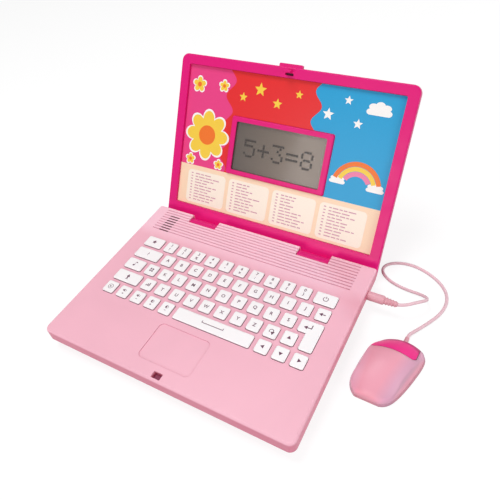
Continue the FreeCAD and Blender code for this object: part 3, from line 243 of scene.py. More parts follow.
def moulded(name, colour, roughness=0.4, drift=0.06, grain=0.02, grain_size=0.35, edge=0.35, wall=(),
            sides=(), corner_shade=None, **sockets):
    """Injection-moulded plastic. Its colour drifts a little along the flow of the melt, the polish of the
    mould varies, a spark-eroded grain lies on it, and its edges are broken by a small radius. A wall
    grades the colour by height, and each of the sides is an axis with the stops that grade it along that
    axis; these grades are painted light and painted shade. The corner shade is painted shade: the share of
    red, green and blue that is left in an inner corner."""
    material, tree, shader, place = new_material(name, **sockets)
    flow = add_node(tree, "ShaderNodeTexNoise", {"Vector": place, "Scale": 18.0, "Detail": 3.0,
                                                 "Distortion": 0.8})
    tone = ramp(tree, flow.outputs["Fac"], (0.3, shaded(colour, 1 - drift)),
                (0.7, shaded(colour, 1 + drift / 3)))
    if wall:
        tone = graded(tree, tone, place, UPWARDS, wall)
    for axis, stops in sides:
        tone = graded(tree, tone, place, axis, stops)
    # Painted shade: ambient occlusion darkens the colour in inner corners.
    if corner_shade:
        shut_in = add_node(tree, "ShaderNodeAmbientOcclusion", {"Distance": CORNER_SHADE_REACH * MM}, samples=8,
                           only_local=True)
        corner_shading = ramp(tree, shut_in.outputs["AO"], (0.45, (*corner_shade, 1.0)), (0.85, (*FULL, 1.0)))
        tone = multiplied(tree, tone, corner_shading)
    tree.links.new(tone, shader.inputs["Base Color"])
    polish = add_node(tree, "ShaderNodeTexNoise", {"Vector": place, "Scale": 55.0, "Detail": 4.0})
    dulled = add_node(tree, "ShaderNodeMapRange", {
        "Value": polish.outputs["Fac"], "From Min": 0.3, "From Max": 0.7,
        "To Min": roughness - 0.05, "To Max": roughness + 0.05})
    tree.links.new(dulled.outputs["Result"], shader.inputs["Roughness"])
    broken = add_node(tree, "ShaderNodeBevel", {"Radius": edge * MM}, samples=4)
    sparks = add_node(tree, "ShaderNodeTexNoise", {"Vector": place, "Scale": 1 / (grain_size * MM),
                                                   "Detail": 2.0})
    raised = add_node(tree, "ShaderNodeBump", {
        "Height": sparks.outputs["Fac"], "Normal": broken.outputs["Normal"],
        "Strength": 0.5, "Distance": grain * MM})
    tree.links.new(raised.outputs["Normal"], shader.inputs["Normal"])
    return material


def dress(material, *names):
    """Gives CAD nodes one finish in place of the plain one that they came with."""
    for name in names:
        nodes[name].data.materials.clear()
        nodes[name].data.materials.append(material)


# Painted shade: the walls deepen below the deck's edge and darken most near the foot, and the deck darkens
# towards its rear right corner. Painted light: the rear of the deck is paler.
WALL_SHADE_PINK = (0.82, 0.41, 0.52)
FOOT_SHADOW_PINK = (0.45, 0.18, 0.25)
REAR_LIGHT_PALE = (1.09, 1.28, 1.25)
REAR_CORNER_SHADE = (0.93, 0.82, 0.83)
INNER_CORNER_SHADE = (0.68, 0.45, 0.52)
UNDERSIDE = 0.3
FOOT_LINE = 0.6
SKIRT_LOW = 4.0
SKIRT_HIGH = 21.6
DECK_EDGE = 23.2
TO_REAR = (0, 1, 0)
TO_CORNER = (0.7, 0.7, 0)
base_wall = [(UNDERSIDE, FULL), (FOOT_LINE, FOOT_SHADOW_PINK), (SKIRT_LOW, WALL_SHADE_PINK), (SKIRT_HIGH, WALL_SHADE_PINK),
             (DECK_EDGE, FULL)]
rear_side = [(44.0, FULL), (57.0, REAR_LIGHT_PALE), (86.5, REAR_LIGHT_PALE), (88.0, FULL)]
rear_right_corner = [(95.0, FULL), (112.0, REAR_CORNER_SHADE)]
base_pink = moulded("base_pink", tint(246, 184, 201), roughness=0.42, drift=0.03, wall=base_wall,
                    sides=[(TO_REAR, rear_side), (TO_CORNER, rear_right_corner)], corner_shade=INNER_CORNER_SHADE)
dress(base_pink, "top_case", "bottom_case", "battery_door")


# Inside the base: cells with their sprung contacts, a green circuit board, a grey rubber mat with a dome
# under each key, a paper-coned loudspeaker and the black socket of the mouse. The boards of the display
# and of the mouse are of the same green laminate.
def brushed(name, colour, roughness, stretch=(900.0, 60.0, 60.0)):
    """Plated metal: fine scratches, as noise stretched along the turning, break up its polish."""
    material, tree, shader, place = new_material(name, Base_Color=colour, Metallic=1.0)
    turned = add_node(tree, "ShaderNodeMapping", {"Vector": place, "Scale": stretch})
    scratch = add_node(tree, "ShaderNodeTexNoise", {"Vector": turned.outputs["Vector"], "Scale": 6.0,
                                                    "Detail": 3.0})
    dulled = add_node(tree, "ShaderNodeMapRange", {"Value": scratch.outputs["Fac"], "To Min": roughness - 0.1,
                                                   "To Max": roughness + 0.15})
    tree.links.new(dulled.outputs["Result"], shader.inputs["Roughness"])
    return material


dress(moulded("cell_sleeve", tint(70, 74, 84), roughness=0.35), "batteries")
dress(brushed("contact_plate", tint(205, 200, 190), 0.3), "battery_contacts")
board_green = moulded("board_green", tint(40, 110, 62), roughness=0.3, drift=0.25)
dress(board_green, "main_board", "lcd_board", "mouse_board")
dress(moulded("mat_rubber", tint(172, 172, 170), roughness=0.7), "key_mat")
dress(moulded("speaker_black", tint(44, 42, 42), roughness=0.6, drift=0.2), "speaker")
dress(moulded("socket_black", tint(34, 34, 36), roughness=0.45), "mouse_socket")

# Key caps: satin white mouldings, each with a lip that holds it under the deck and a rubber dome below.
# The caps of one run share a node, and sink together. Painted shade makes their walls grey low in the gap
# round them.
DECK_TOP = 24.0
GAP_LOW = 0.2
GAP_HIGH = 1.1
# Painted shade: the caps' walls are grey up to just above the deck and whiten by 1.1 mm over it.
GAP_SHADE_GREY = (0.22, 0.14, 0.16)
key_white = moulded("key_white", tint(255, 252, 253), roughness=0.36, drift=0.015, edge=0.5,
                    wall=[(DECK_TOP + GAP_LOW, GAP_SHADE_GREY), (DECK_TOP + GAP_HIGH, FULL)])
key_runs = {"digit_keys": "1234567890", "letter_keys_a_to_j": "ABCDEFGHIJ", "letter_keys_k_to_s": "KLMNOPQRS",
            "letter_keys_t_to_z": "TUVWXYZ"}
key_names = [name for name in nodes if name.endswith("_key") or name in key_runs]
dress(key_white, *key_names)


# Key legends: plum ink, pad-printed on the caps before the keyboard is put together. A letter stands in
# the middle of its cap, a figure over a sign, and the other keys carry a plain sign each.
def arc(radius, start=0.0, turn=360.0, count=36):
    """Points on a circle or on a part of it, anticlockwise: radius times the cosine and sine of even steps
    of angle."""
    angle = np.radians(start + np.linspace(0, turn, count, endpoint=turn < 360))
    return radius * np.stack([np.cos(angle), np.sin(angle)], axis=1)


def star(radius, points=5, waist=0.45):
    """A star: corners at even steps of angle, by turns on the full radius and on the waist."""
    corners = arc(radius, 90, count=2 * points)
    corners[1::2] *= waist
    return corners


def rounded(width, height, corner, count=8):
    """A rectangle with round corners: four quarter circles, each moved to its corner."""
    quarters = [arc(corner, start, 90, count) for start in (0, 90, 180, 270)]
    signs = [(1, 1), (-1, 1), (-1, -1), (1, -1)]
    reach = np.array((width / 2 - corner, height / 2 - corner))
    return np.concatenate([quarter + reach * sign for quarter, sign in zip(quarters, signs)])


def fan(outline):
    """Triangles from the middle of a closed outline to each of its sides."""
    ring = np.arange(1, len(outline) + 1)
    faces = np.stack([np.zeros_like(ring), ring, np.roll(ring, -1)], axis=1)
    return np.concatenate([outline.mean(axis=0)[None], outline]), faces


def strip(one, other, closed=False):
    """Quads between two lines of as many points."""
    first = np.arange(len(one) if closed else len(one) - 1)
    after = (first + 1) % len(one)
    faces = np.stack([first, first + len(one), after + len(one), after], axis=1)
    return np.concatenate([one, other]), faces


def bar(width, height):
    """A plain rectangle."""
    side = np.array(((-1.0, -1.0), (-1.0, 1.0))) * (width / 2, height / 2)
    return strip(side, side * (-1, 1))


def band(inner, outer, start=0.0, turn=360.0, count=36):
    """A ring, or a part of one, between two radii."""
    return strip(arc(inner, start, turn, count), arc(outer, start, turn, count), turn >= 360)


def moved(patch, x=0.0, y=0.0, turn=0.0):
    """A patch turned about its own middle, then shifted."""
    points, faces = patch
    angle = math.radians(turn)
    turning = np.array(((math.cos(angle), math.sin(angle)), (-math.sin(angle), math.cos(angle))))
    return points @ turning + (x, y), faces


def cross(reach, blade):
    """The outline of a plus sign: three corners of one arm, turned by a quarter four times."""
    arm = np.array(((reach, -blade), (reach, blade), (blade, blade)))
    return np.concatenate([moved((arm, []), turn=turn)[0] for turn in (0, 90, 180, 270)])


INK_SPREAD = 0.018


def glyph(letter, height):
    """One figure or letter of the plain built-in typeface, swollen by the spread of the ink, as flat faces
    about its own middle."""
    text = bpy.data.curves.new("glyph", "FONT")
    text.body = letter
    text.resolution_u = 3
    text.offset = INK_SPREAD
    carrier = bpy.data.objects.new("glyph", text)
    bpy.context.scene.collection.objects.link(carrier)
    drawn = bpy.data.meshes.new_from_object(carrier.evaluated_get(bpy.context.evaluated_depsgraph_get()))
    points = np.empty(len(drawn.vertices) * 3)
    drawn.vertices.foreach_get("co", points)
    points = points.reshape(-1, 3)[:, :2]
    faces = [tuple(face.vertices) for face in drawn.polygons]
    for thing, store in ((carrier, bpy.data.objects), (drawn, bpy.data.meshes), (text, bpy.data.curves)):
        store.remove(thing)
    middle = (points.min(axis=0) + points.max(axis=0)) / 2
    return (points - middle) * height, faces


def lay_flat(name, patches, material, put):
    """One flat piece from many patches in millimetres. Put is a matrix that takes their plane to its
    place."""
    starts = np.cumsum([0] + [len(points) for points, faces in patches])
    flat = np.concatenate([points for points, faces in patches]) * MM
    spots = np.c_[flat, np.zeros(len(flat)), np.ones(len(flat))] @ np.array(put).T
    faces = [np.asarray(face) + start for (points, part), start in zip(patches, starts) for face in part]
    return add_piece(name, spots[:, :3], faces, material)


def printed(name, colour, gloss=0.35):
    """Printing ink: a fine screen of dots in the colour, and a thin varnish."""
    material, tree, shader, place = new_material(name, Roughness=gloss, Specular_IOR_Level=0.2,
                                                  Coat_Weight=0.05, Coat_Roughness=0.2)
    screen = add_node(tree, "ShaderNodeTexVoronoi", {"Vector": place, "Scale": 2200.0})
    tone = ramp(tree, screen.outputs["Distance"], (0.2, shaded(colour, 0.95)), (0.7, colour))
    tree.links.new(tone, shader.inputs["Base Color"])
    return material


ARROW = 2.5
SIGN_RISE = 1.6
SIGN_DROP = 2.9


def arrow(turn):
    """A plain triangle that points the way it is turned."""
    return moved(fan(arc(ARROW, 90, count=3)), turn=turn)


def over(upper, lower):
    """A sign with a smaller one below it."""
    return upper + [moved(patch, 0, -SIGN_DROP) for patch in lower]


KEY_LIP = 1.0
KEY_GAP = 4.1
KEY_DEPTH = 12.3
LEGEND_LIFT = 0.04
CAPITAL = 4.6
FIGURE = 4.3
FIGURE_PLACE = 2.4
FIGURE_SIGNS = "!?%+-x:=()"
SIGN_SHARE = 0.8
plus = [fan(cross(1.1, 0.25))]
minus = [bar(2.2, 0.5)]
horn = strip(np.array(((-1.3, 0.8), (-1.3, 2.4))), np.array(((0.2, -0.4), (0.2, 3.6))))
sounder = [moved(bar(1.2, 1.6), -1.9, SIGN_RISE), horn, moved(band(1.4, 1.9, -45, 90, 9), 0.2, SIGN_RISE)]
half_moon = [moved(band(1.5, 1.9), 0, SIGN_RISE), moved(fan(arc(1.55, 90, 180, 18)), 0, SIGN_RISE)]
signs = {
    "activity_key": [fan(star(3.2))],
    "power_key": [band(2.3, 3.0, 125, 290), moved(bar(0.7, 3.0), 0, 2.2)],
    "help_key": [glyph("?", 6.0)],
    "delete_key": [moved(arrow(90), -1.6), moved(bar(3.4, 1.1), 1.4)],
    "music_key": [moved(fan(arc(1.2)), -1.0, -2.0), moved(bar(0.5, 5.0), 0.1, 0.6),
                  moved(bar(2.4, 0.9), 1.1, 2.7, -25)],
    "mode_key": [moved(fan(rounded(2.0, 2.0, 0.4)), x, y) for x in (-1.4, 1.4) for y in (-1.4, 1.4)],
    "enter_key": [moved(arrow(90), -4.4, -1.2), moved(bar(5.6, 1.0), -0.9, -1.2),
                  moved(bar(1.0, 4.0), 1.4, 1.3)],
    "capitals_key": [moved(arrow(0), 0, 1.1), moved(bar(1.6, 2.6), 0, -1.4), moved(bar(3.6, 0.6), 0, -3.4)],
    "level_key": [moved(bar(1.2, tall), x, tall / 2 - 2.4)
                  for x, tall in ((-1.9, 1.8), (0, 3.3), (1.9, 4.8))],
    "turn_key": [band(1.9, 2.6, -40, 270), moved(arrow(180), 1.75, -1.75, 130)],
    "up_key": [arrow(0)],
    "left_key": [arrow(90)],
    "down_key": [arrow(180)],
    "right_key": [arrow(270)],
    "demo_key": [band(2.7, 3.2), moved(fan(arc(1.6, 0, count=3)), -0.2)],
    "volume_up_key": over(sounder, plus),
    "volume_down_key": over(sounder, minus),
    "contrast_up_key": over(half_moon, plus),
    "contrast_down_key": over(half_moon, minus),
    "space_key": [bar(26.0, 0.8), moved(bar(0.8, 2.2), -12.6, 1.1), moved(bar(0.8, 2.2), 12.6, 1.1)],
}
plum_ink = printed("plum_ink", tint(112, 68, 92))
for key_name in key_names:
    low, high = (np.array(corner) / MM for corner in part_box(key_name))
    middle_x = (low[0] + high[0]) / 2
    middle_y = high[1] - KEY_LIP - KEY_DEPTH / 2
    run = key_runs.get(key_name, "")
    pitch = (high[0] - low[0] - 2 * KEY_LIP + KEY_GAP) / max(len(run), 1)
    key_x = low[0] + KEY_LIP - KEY_GAP / 2 + pitch * (np.arange(len(run)) + 0.5)
    if not run:
        legend = [moved((points * SIGN_SHARE, faces), middle_x, middle_y)
                  for points, faces in signs[key_name]]
    elif run.isdigit():
        lines = ((run, FIGURE_PLACE), (FIGURE_SIGNS, -FIGURE_PLACE))
        legend = [moved(glyph(sign, FIGURE), x, middle_y + rise)
                  for line, rise in lines for sign, x in zip(line, key_x)]
    else:
        legend = [moved(glyph(letter, CAPITAL), x, middle_y) for letter, x in zip(run, key_x)]
    lift = Matrix.Translation((0, 0, (high[2] + LEGEND_LIFT) * MM))
    drawn_legend = lay_flat(f"legend_{key_name}", legend, plum_ink, lift)
    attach(drawn_legend, f"{key_name}_press")

# Speaker slots: seven dark strips lie in the speaker slots, just under the face of the deck, as painted
# shade in the slots.
RIB_LENGTH = 10.95
RIB_WIDTH = 1.55
RIB_CORNER = 0.5
RIB_X = -92.2
RIB_FIRST = 55.7
RIB_PITCH = 3.45
RIBS = 7
SLOT_SHADE_DEPTH = 0.25
# Painted shade: the strips are dark, as the inside of a deep slot looks.
slot_shade_dark = moulded("slot_shade_dark", tint(104, 48, 62), roughness=0.8, drift=0.2)
slot_shade_ribs = [moved(fan(rounded(RIB_LENGTH, RIB_WIDTH, RIB_CORNER)), RIB_X, RIB_FIRST + RIB_PITCH * row)
               for row in range(RIBS)]
slot_shade_piece = lay_flat("speaker_slot_shade", slot_shade_ribs, slot_shade_dark,
                  Matrix.Translation((0, 0, (DECK_TOP - SLOT_SHADE_DEPTH) * MM)))
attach(slot_shade_piece, "base")

# Lid: a glossy magenta bezel and rear shell, clipped and screwed together round the display, with two
# hinge arms of the same plastic whose barrels turn on steel pins. Painted light makes the foot of the bezel
# brighter, where it stands in the gap behind the deck.
MAGENTA = tint(227, 18, 121)
# Painted light: the bezel's foot, below 25 mm at rest, is brighter.
FOOT_PAINTED_LIGHT = (1.25, 2.5, 1.5)
lid_gloss = {"roughness": 0.36, "drift": 0.015, "Specular_IOR_Level": 0.22}
bezel_foot_light = [(15.0, FOOT_PAINTED_LIGHT), (25.0, FULL)]
dress(moulded("lid_magenta", MAGENTA, **lid_gloss), "lid_back", "hinge_arms")
dress(moulded("bezel_magenta", MAGENTA, wall=bezel_foot_light, **lid_gloss), "lid_bezel")
dress(brushed("steel_pin", tint(190, 190, 194), 0.3), "hinge_pins")

# Latch: the hook of the bezel drops into a well in the deck. A dark patch on the floor of the well and a
# second one in the slot below the hook are painted shade.
LID_LEAN = 60.0
WELL_FLOOR = (0.0, -82.6, 19.85)
WELL_SIZE = (8.1, 5.4)
WELL_CORNER = 0.5
HOOK_SLOT = (0.0, 159.8, -14.15)
HOOK_SLOT_SIZE = (7.9, 1.8)
HOOK_SLOT_CORNER = 0.4
hinge = next(joint for joint in frame["joints"] if joint["name"] == "lid_hinge")
lid_axes = Matrix.Translation(hinge["pos_m"]) @ Matrix.Rotation(math.radians(LID_LEAN), 4, "X")
# Painted shade: a dark patch on the floor of the well.
well_shade_dark = moulded("well_shade_dark", tint(150, 66, 98), roughness=0.7, edge=0.1)
well_floor_shade = lay_flat("well_floor_shade", [fan(rounded(*WELL_SIZE, WELL_CORNER))], well_shade_dark,
                      Matrix.Translation(Vector(WELL_FLOOR) * MM))
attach(well_floor_shade, "base")
# Painted shadow: a dark patch in the slot below the hook.
hook_slot_shade_dark = moulded("hook_slot_shade_dark", tint(84, 20, 48), roughness=0.7)
hook_slot_shade = lay_flat("hook_slot_shade", [fan(rounded(*HOOK_SLOT_SIZE, HOOK_SLOT_CORNER))], hook_slot_shade_dark,
                      lid_axes @ Matrix.Translation(Vector(HOOK_SLOT) * MM))
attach(hook_slot_shade, "lid")

# Display: a grey liquid-crystal glass on its board, behind a clear lens in the raised frame of the bezel.
# A polarising film is bonded to its face, and its dark dots show a sum. Its grey pales towards the right,
# a painted reflection.
LENS_BACK = -14.6
SCREEN_MIDDLE = 87.85
LCD_SPREAD = 46.0 * MM
LCD_CLOUDING = 0.25
lens_clear = new_material("lens_clear", Base_Color=tint(190, 190, 188), Alpha=0.05, Roughness=0.08)[0]
dress(lens_clear, "lcd_window")
lcd_glass, lcd_tree, lcd_shader, lcd_place = new_material("lcd_glass", Coat_Weight=0.3, Coat_Roughness=0.1,
                                                          Roughness=0.4)
# Painted reflection: the grey of the glass pales from left to right.
sideways = add_node(lcd_tree, "ShaderNodeSeparateXYZ", {"Vector": lcd_place}).outputs["X"]
reflection_paling = add_node(lcd_tree, "ShaderNodeMapRange", {"Value": sideways, "From Min": -LCD_SPREAD,
                                                   "From Max": LCD_SPREAD})
cloud = add_node(lcd_tree, "ShaderNodeTexNoise", {"Vector": lcd_place, "Scale": 25.0})
clouded = add_node(lcd_tree, "ShaderNodeMath", {0: cloud.outputs["Fac"], 1: LCD_CLOUDING,
                                                2: reflection_paling.outputs["Result"]}, operation="MULTIPLY_ADD")
lcd_grey = ramp(lcd_tree, clouded.outputs[0], (0.1, tint(60, 47, 36)), (0.9, tint(116, 99, 84)))
lcd_tree.links.new(lcd_grey, lcd_shader.inputs["Base Color"])
dress(lcd_glass, "lcd_module")
FILM_WIDTH = 96.0
FILM_HEIGHT = 49.7
FILM_CORNER = 1.2
FILM_LIFT = 0.03
film = moved(fan(rounded(FILM_WIDTH, FILM_HEIGHT, FILM_CORNER)), 0, SCREEN_MIDDLE)
polariser = lay_flat("polariser", [film], lcd_glass,
                     lid_axes @ Matrix.Translation((0, 0, (LENS_BACK + FILM_LIFT) * MM)))
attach(polariser, "lid")
SUM = "5+3=8"
DOT_PITCH = 2.5
DOT_SIZE = 2.25
DOT_LIFT = 0.06
dots = {"5": "11111 10000 11110 00001 00001 10001 01110", "+": "00000 00100 00100 11111 00100 00100 00000",
        "3": "11111 00010 00100 00010 00001 10001 01110", "=": "00000 00000 11111 00000 11111 00000 00000",
        "8": "01110 10001 10001 01110 10001 10001 01110"}
blocks = [np.array([list(line + "0") for line in dots[sign].split()]) for sign in SUM]
picture = np.concatenate(blocks, axis=1) == "1"
dot_rows, dot_columns = np.nonzero(picture)
dot_x = (dot_columns - (picture.shape[1] - 2) / 2) * DOT_PITCH
dot_y = SCREEN_MIDDLE - (dot_rows - (picture.shape[0] - 1) / 2) * DOT_PITCH
squares = [moved(bar(DOT_SIZE, DOT_SIZE), x, y) for x, y in zip(dot_x, dot_y)]
lcd_dots = lay_flat("lcd_dots", squares, printed("lcd_dark", tint(52, 44, 40)),
                    lid_axes @ Matrix.Translation((0, 0, (LENS_BACK + DOT_LIFT) * MM)))
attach(lcd_dots, "lid")

# Printed sheet: a plastic sheet glued into the recess of the bezel, screen-printed red and then in nine
# more inks, with flowers, a rainbow, clouds and stars over boxes of ruled lines.
SHEET_FRONT = -14.2
SHEET_EDGE = 106.2
SHEET_LOW = 18.3
SHEET_HIGH = 156.4
HOLE_EDGE = 52.4
HOLE_LOW = 59.6
HOLE_HIGH = 116.1
HOLE_CORNER = 2.2
INK_STEP = 0.03
dress(printed("ink_red", tint(229, 44, 46)), "print_panel")


def field(low, high, left, right, count=60):
    """A field between two upright edges: each gives its place across from the height."""
    height = np.linspace(low, high, count)
    return strip(np.stack([left(height), height], axis=1), np.stack([right(height), height], axis=1))


def level(across):
    """A straight upright edge."""
    return lambda height: np.full_like(height, across)


def hole_side(height):
    """The right-hand edge of the hole for the screen: upright, with a quarter circle at each end."""
    past = np.abs(height - (HOLE_LOW + HOLE_HIGH) / 2) - ((HOLE_HIGH - HOLE_LOW) / 2 - HOLE_CORNER)
    return HOLE_EDGE - HOLE_CORNER + np.sqrt(np.maximum(HOLE_CORNER**2 - np.maximum(past, 0) ** 2, 0))


def wave(across, swing, length):
    """An upright edge that swings from side to side as a sine."""
    return lambda height: across + swing * np.sin(height / length * math.tau)


def petals(radius, count, depth, start=90.0, steps=180):
    """A closed outline of round petals: radius less depth, plus depth times a root of the cosine of half
    as many turns as there are petals."""
    angle = np.linspace(0, math.tau, steps, endpoint=False)
    reach = radius * (1 - depth + depth * np.abs(np.cos(count * angle / 2)) ** 0.7)
    angle = angle + math.radians(start)
    return reach[:, None] * np.stack([np.cos(angle), np.sin(angle)], axis=1)


def puff(radius):
    """A cloud: an outline of seven round petals, pressed flat from above and cut off level below."""
    outline = petals(radius, count=7, depth=0.22) * (1.25, 0.85)
    return np.stack([outline[:, 0], np.maximum(outline[:, 1], -0.4 * radius)], axis=1)


def scattered(outline, spots):
    """One filled outline at each spot, which is a place across, a height and a radius."""
    return [moved(fan(outline(radius)), x, y) for x, y, radius in spots]


def print_ink(name, colour, layer, patches):
    """One ink of the sheet, a step in front of those printed before it."""
    lift = Matrix.Translation((0, 0, (SHEET_FRONT + layer * INK_STEP) * MM))
    made = lay_flat(f"print_{name}", patches, printed(f"ink_{name}", colour), lid_axes @ lift)
    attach(made, "lid")


FLOWER = (-79.0, 92.0)
FLOWER_RADIUS = 23.5
FLOWER_RIM = 2.0
FLOWER_HEART = 9.5
FLOWER_PETALS = 8
SMALL_RIM = 1.3
SMALL_PETALS = 5
small_flowers = [(-94.0, 139.0, 7.0), (-66.0, 141.0, 5.0), (-95.5, 65.5, 5.0), (-62.0, 65.5, 4.5)]
clouds = [(62.0, 77.0, 6.0), (97.0, 76.0, 6.5), (86.0, 141.0, 9.0)]
stars = [(-44.0, 134.0, 4.5), (-27.0, 143.0, 6.5), (-8.0, 133.0, 5.0), (12.0, 144.0, 4.0)]
sky_stars = [(42.0, 132.0, 5.5), (58.0, 146.0, 4.0), (70.0, 128.0, 4.5)]
RAINBOW = (79.5, 74.0)
rainbow = {"rose": band(10.0, 14.2, start=28, turn=124), "yellow": band(14.5, 18.5, start=20, turn=140),
           "orange": band(18.8, 23.0, start=16, turn=148)}
BOXES = 4
BOX_REACH = 73.5
BOX_MIDDLE = 38.0
BOX_WIDTH = 45.0
BOX_HEIGHT = 34.0
BOX_CORNER = 4.0
LINES = 10
LINE_PITCH = 3.0
LINE_WEIGHT = 1.0
LINE_REACH = (17, 33)
LINE_INSET = 8.0
MARK_WIDTH = 2.2
MARK_INSET = 5.0
DASHES = 8
DASH_LENGTH = (2.5, 8.0)
DASH_GAP = 1.0
SEED = 7
boxes = np.linspace(-BOX_REACH, BOX_REACH, BOXES)
box_left = boxes - BOX_WIDTH / 2
rows = np.arange(LINES) * LINE_PITCH + BOX_MIDDLE - (LINES - 1) * LINE_PITCH / 2
draw = np.random.default_rng(SEED)
dashes = [moved(bar(MARK_WIDTH, LINE_WEIGHT), left + MARK_INSET, y) for left in box_left for y in rows]
for left in box_left:
    for y, reach in zip(rows, draw.uniform(*LINE_REACH, LINES)):
        lengths = draw.uniform(*DASH_LENGTH, DASHES)
        ends = np.cumsum(lengths + DASH_GAP)
        dashes += [moved(bar(length, LINE_WEIGHT), left + LINE_INSET + end - length / 2, y)
                   for length, end in zip(lengths, ends) if end < reach]
print_ink("pink", tint(234, 66, 134), 1, [
    field(HOLE_LOW, SHEET_HIGH, level(-SHEET_EDGE), wave(-58.0, swing=4.5, length=28.0))])
print_ink("blue", tint(38, 160, 212), 1, [
    field(HOLE_HIGH, SHEET_HIGH, wave(31.0, swing=4.0, length=26.0), level(SHEET_EDGE)),
    field(HOLE_LOW, HOLE_HIGH, hole_side, level(SHEET_EDGE), count=240)])
print_ink("peach", tint(253, 222, 190), 1, [
    field(SHEET_LOW, HOLE_LOW, level(-SHEET_EDGE), level(SHEET_EDGE))])
print_ink("white", tint(252, 249, 246), 2, (
    [moved(fan(petals(FLOWER_RADIUS + FLOWER_RIM, FLOWER_PETALS, depth=0.3)), *FLOWER)]
    + scattered(puff, clouds)
    + scattered(star, sky_stars)
    + scattered(lambda radius: petals(radius + SMALL_RIM, SMALL_PETALS, depth=0.4), small_flowers)))
print_ink("cream", tint(255, 243, 226), 2, [
    moved(fan(rounded(BOX_WIDTH, BOX_HEIGHT, BOX_CORNER)), x, BOX_MIDDLE) for x in boxes])
print_ink("yellow", tint(248, 208, 72), 3, (
    [moved(fan(petals(FLOWER_RADIUS, FLOWER_PETALS, depth=0.33)), *FLOWER)]
    + scattered(star, stars)
    + scattered(lambda radius: petals(radius, SMALL_PETALS, depth=0.45), small_flowers)
    + [moved(rainbow["yellow"], *RAINBOW)]))
print_ink("orange", tint(242, 120, 44), 4, (
    [moved(fan(arc(FLOWER_HEART)), *FLOWER)]
    + scattered(lambda radius: arc(radius / 3), small_flowers)
    + [moved(rainbow["orange"], *RAINBOW)]))
print_ink("rose", tint(240, 130, 170), 4, [moved(rainbow["rose"], *RAINBOW)])
print_ink("plum", tint(210, 152, 172), 4, dashes)

# Mouse: a satin pink shell on a flat tray, with one magenta button across its front, and a red lens and
# one screw below. A lilac painted highlight lies along its shoulders, painted light makes its sides and
# front a lighter pink, and painted shade darkens its rim where it meets the desk.
# Painted light and shade: the rim darkens at the desk, the sides and front are lighter, and lilac painted
# highlights lie along the left edge and the right shoulder.
RIM_SHADOW_PINK = (0.74, 0.62, 0.66)
SIDE_LIGHT_PINK = (1.1, 1.05, 1.08)
FRONT_LIGHT_PINK = (1.1, 1.12, 1.08)
LEFT_LILAC_HIGHLIGHT = (0.98, 1.4, 1.4)
RIGHT_LILAC_HIGHLIGHT = (0.86, 1.05, 1.13)
BUTTON_RIM_SHADE = (0.55, 0.45, 0.55)
RIGHT_TAPER = 0.26
TO_RIGHT = (1, 0, 0)
TO_RIGHT_SIDE = (1, -RIGHT_TAPER, 0)
mouse_wall = [(UNDERSIDE, FULL), (FOOT_LINE, RIM_SHADOW_PINK), (4.0, SIDE_LIGHT_PINK), (7.5, SIDE_LIGHT_PINK), (10.0, FULL)]
left_side = [(131.0, LEFT_LILAC_HIGHLIGHT), (140.0, FULL)]
front_side = [(-23.3, FRONT_LIGHT_PINK), (-19.5, FULL)]
right_side = [(157.0, FULL), (165.0, RIGHT_LILAC_HIGHLIGHT), (168.5, RIGHT_LILAC_HIGHLIGHT), (170.5, FULL)]
mouse_pink = moulded("mouse_pink", tint(239, 161, 180), roughness=0.45, drift=0.03, edge=3.0, wall=mouse_wall,
                     sides=[(TO_RIGHT, left_side), (TO_REAR, front_side), (TO_RIGHT_SIDE, right_side)])
dress(mouse_pink, "mouse_top", "mouse_base")
# Painted shade: the button darkens towards its low outer rim.
button_wall = [(7.5, BUTTON_RIM_SHADE), (10.5, FULL)]
button_magenta = moulded("button_magenta", tint(252, 54, 146), roughness=0.4, wall=button_wall,
                         Specular_IOR_Level=0.1)
dress(button_magenta, "mouse_button")
dress(moulded("lens_red", tint(150, 40, 40), roughness=0.15), "mouse_lens")

# Mouse lead: a limp two-core cord in a soft pink sheath, extruded, moulded into the gland of the mouse at
# one end and into the ribbed relief of its plug at the other. It lies on the desk in one loose loop.
CORD_DIAMETER = 2.8
CORD_ROUTE = [
    (159.0, 43.1, 2.55),
    (159.2, 46.8, 2.5),
    (162.6, 52.6, 1.6),
    (170.4, 65.2, 1.5),
    (177.0, 78.0, 1.5),
    (179.4, 91.0, 1.5),
    (176.8, 102.8, 1.5),
    (168.4, 113.0, 1.5),
    (155.6, 120.6, 1.5),
    (141.6, 124.4, 1.5),
    (128.8, 122.8, 1.5),
    (118.6, 116.4, 1.5),
    (116.9, 107.2, 1.5),
    (124.6, 99.2, 1.5),
    (135.6, 94.9, 1.5),
    (146.6, 93.2, 1.6),
    (155.6, 91.9, 2.9),
    (162.4, 88.0, 6.0),
    (164.2, 81.6, 10.4),
    (161.2, 75.2, 14.6),
    (155.6, 68.6, 16.9),
    (149.0, 62.9, 17.1),
    (143.8, 62.0, 16.4),
]
cord_curve = bpy.data.curves.new("mouse_lead", "CURVE")
cord_curve.dimensions = "3D"
cord_curve.bevel_depth = CORD_DIAMETER / 2 * MM
cord_curve.bevel_resolution = 6
cord_curve.resolution_u = 10
cord_curve.use_fill_caps = True
cord_line = cord_curve.splines.new("NURBS")
cord_line.points.add(len(CORD_ROUTE) - 1)
route = np.c_[np.array(CORD_ROUTE) * MM, np.ones(len(CORD_ROUTE))]
cord_line.points.foreach_set("co", route.ravel())
cord_line.order_u = 3
cord_line.use_endpoint_u = True
mouse_lead = bpy.data.objects.new("mouse_lead", cord_curve)
bpy.context.scene.collection.objects.link(mouse_lead)
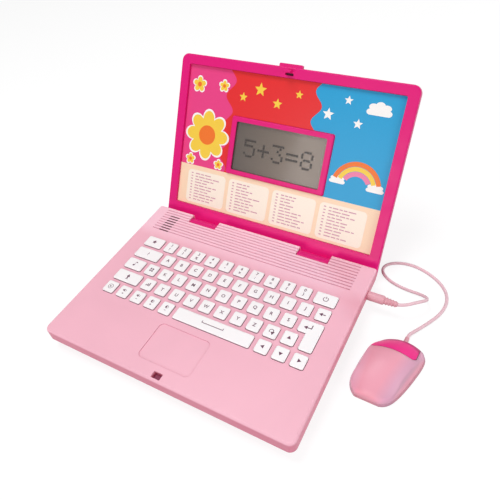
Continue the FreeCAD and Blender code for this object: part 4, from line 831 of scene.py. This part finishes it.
sheath = moulded("pink_sheath", tint(243, 203, 213), roughness=0.5, grain=0.03, Sheen_Weight=0.15)
cord_curve.materials.append(sheath)
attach(mouse_lead, "mouse")
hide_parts("mouse_cord")

# Plug, ribbed relief and gland: soft pink overmoulds at the ends of the lead, with a turned and plated pin
# that goes into the socket in the right wall of the base.
overmould = moulded("pink_overmould", tint(230, 168, 180), roughness=0.48, grain=0.03, Sheen_Weight=0.1)
dress(overmould, "mouse_plug", "plug_relief", "mouse_gland")
dress(brushed("plated_pin", tint(220, 200, 150), 0.25), "plug_pin")

# Screws: zinc-plated pan heads with a cross recess, driven into the base and the mouse from below and into
# the lid from behind. Each recess is a flat dark cross on the head: painted shade for the hollow.
RECESS_REACH = 1.35
RECESS_BLADE = 0.34
RECESS_TURN = 45
RECESS_LIFT = 0.03
BASE_HEADS = 4.4
LID_HEADS = -21.4
dress(brushed("zinc_screw", tint(200, 200, 204), 0.35), "case_screws", "lid_screws", "mouse_screw")
# Painted shade: a dark cross on each head stands for the hollow of its recess.
recess_shade_dark = moulded("recess_shade_dark", tint(58, 58, 62), roughness=0.6, edge=0.1)
facing_down = Matrix.Rotation(math.pi, 4, "X")
base_spots = [(x, y) for x in (-104.5, 104.5) for y in (-72.0, 52.0)] + [(-25.0, 66.0), (25.0, 66.0)]
lid_spots = [(x, y) for x in (-110.9, 110.9) for y in (12.0, 158.0)]
mouse_low, mouse_high = (np.array(corner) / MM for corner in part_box("mouse_screw"))
mouse_spot = (mouse_low + mouse_high) / 2
for body, spots, face, axes in (("base", base_spots, BASE_HEADS, Matrix()),
                                ("lid", lid_spots, LID_HEADS, lid_axes),
                                ("mouse", [mouse_spot[:2]], mouse_low[2], Matrix())):
    crosses = [moved(fan(cross(RECESS_REACH, RECESS_BLADE)), x, -y, RECESS_TURN) for x, y in spots]
    recesses = lay_flat(f"recesses_{body}", crosses, recess_shade_dark,
                        axes @ Matrix.Translation((0, 0, (face - RECESS_LIFT) * MM)) @ facing_down)
    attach(recesses, body)
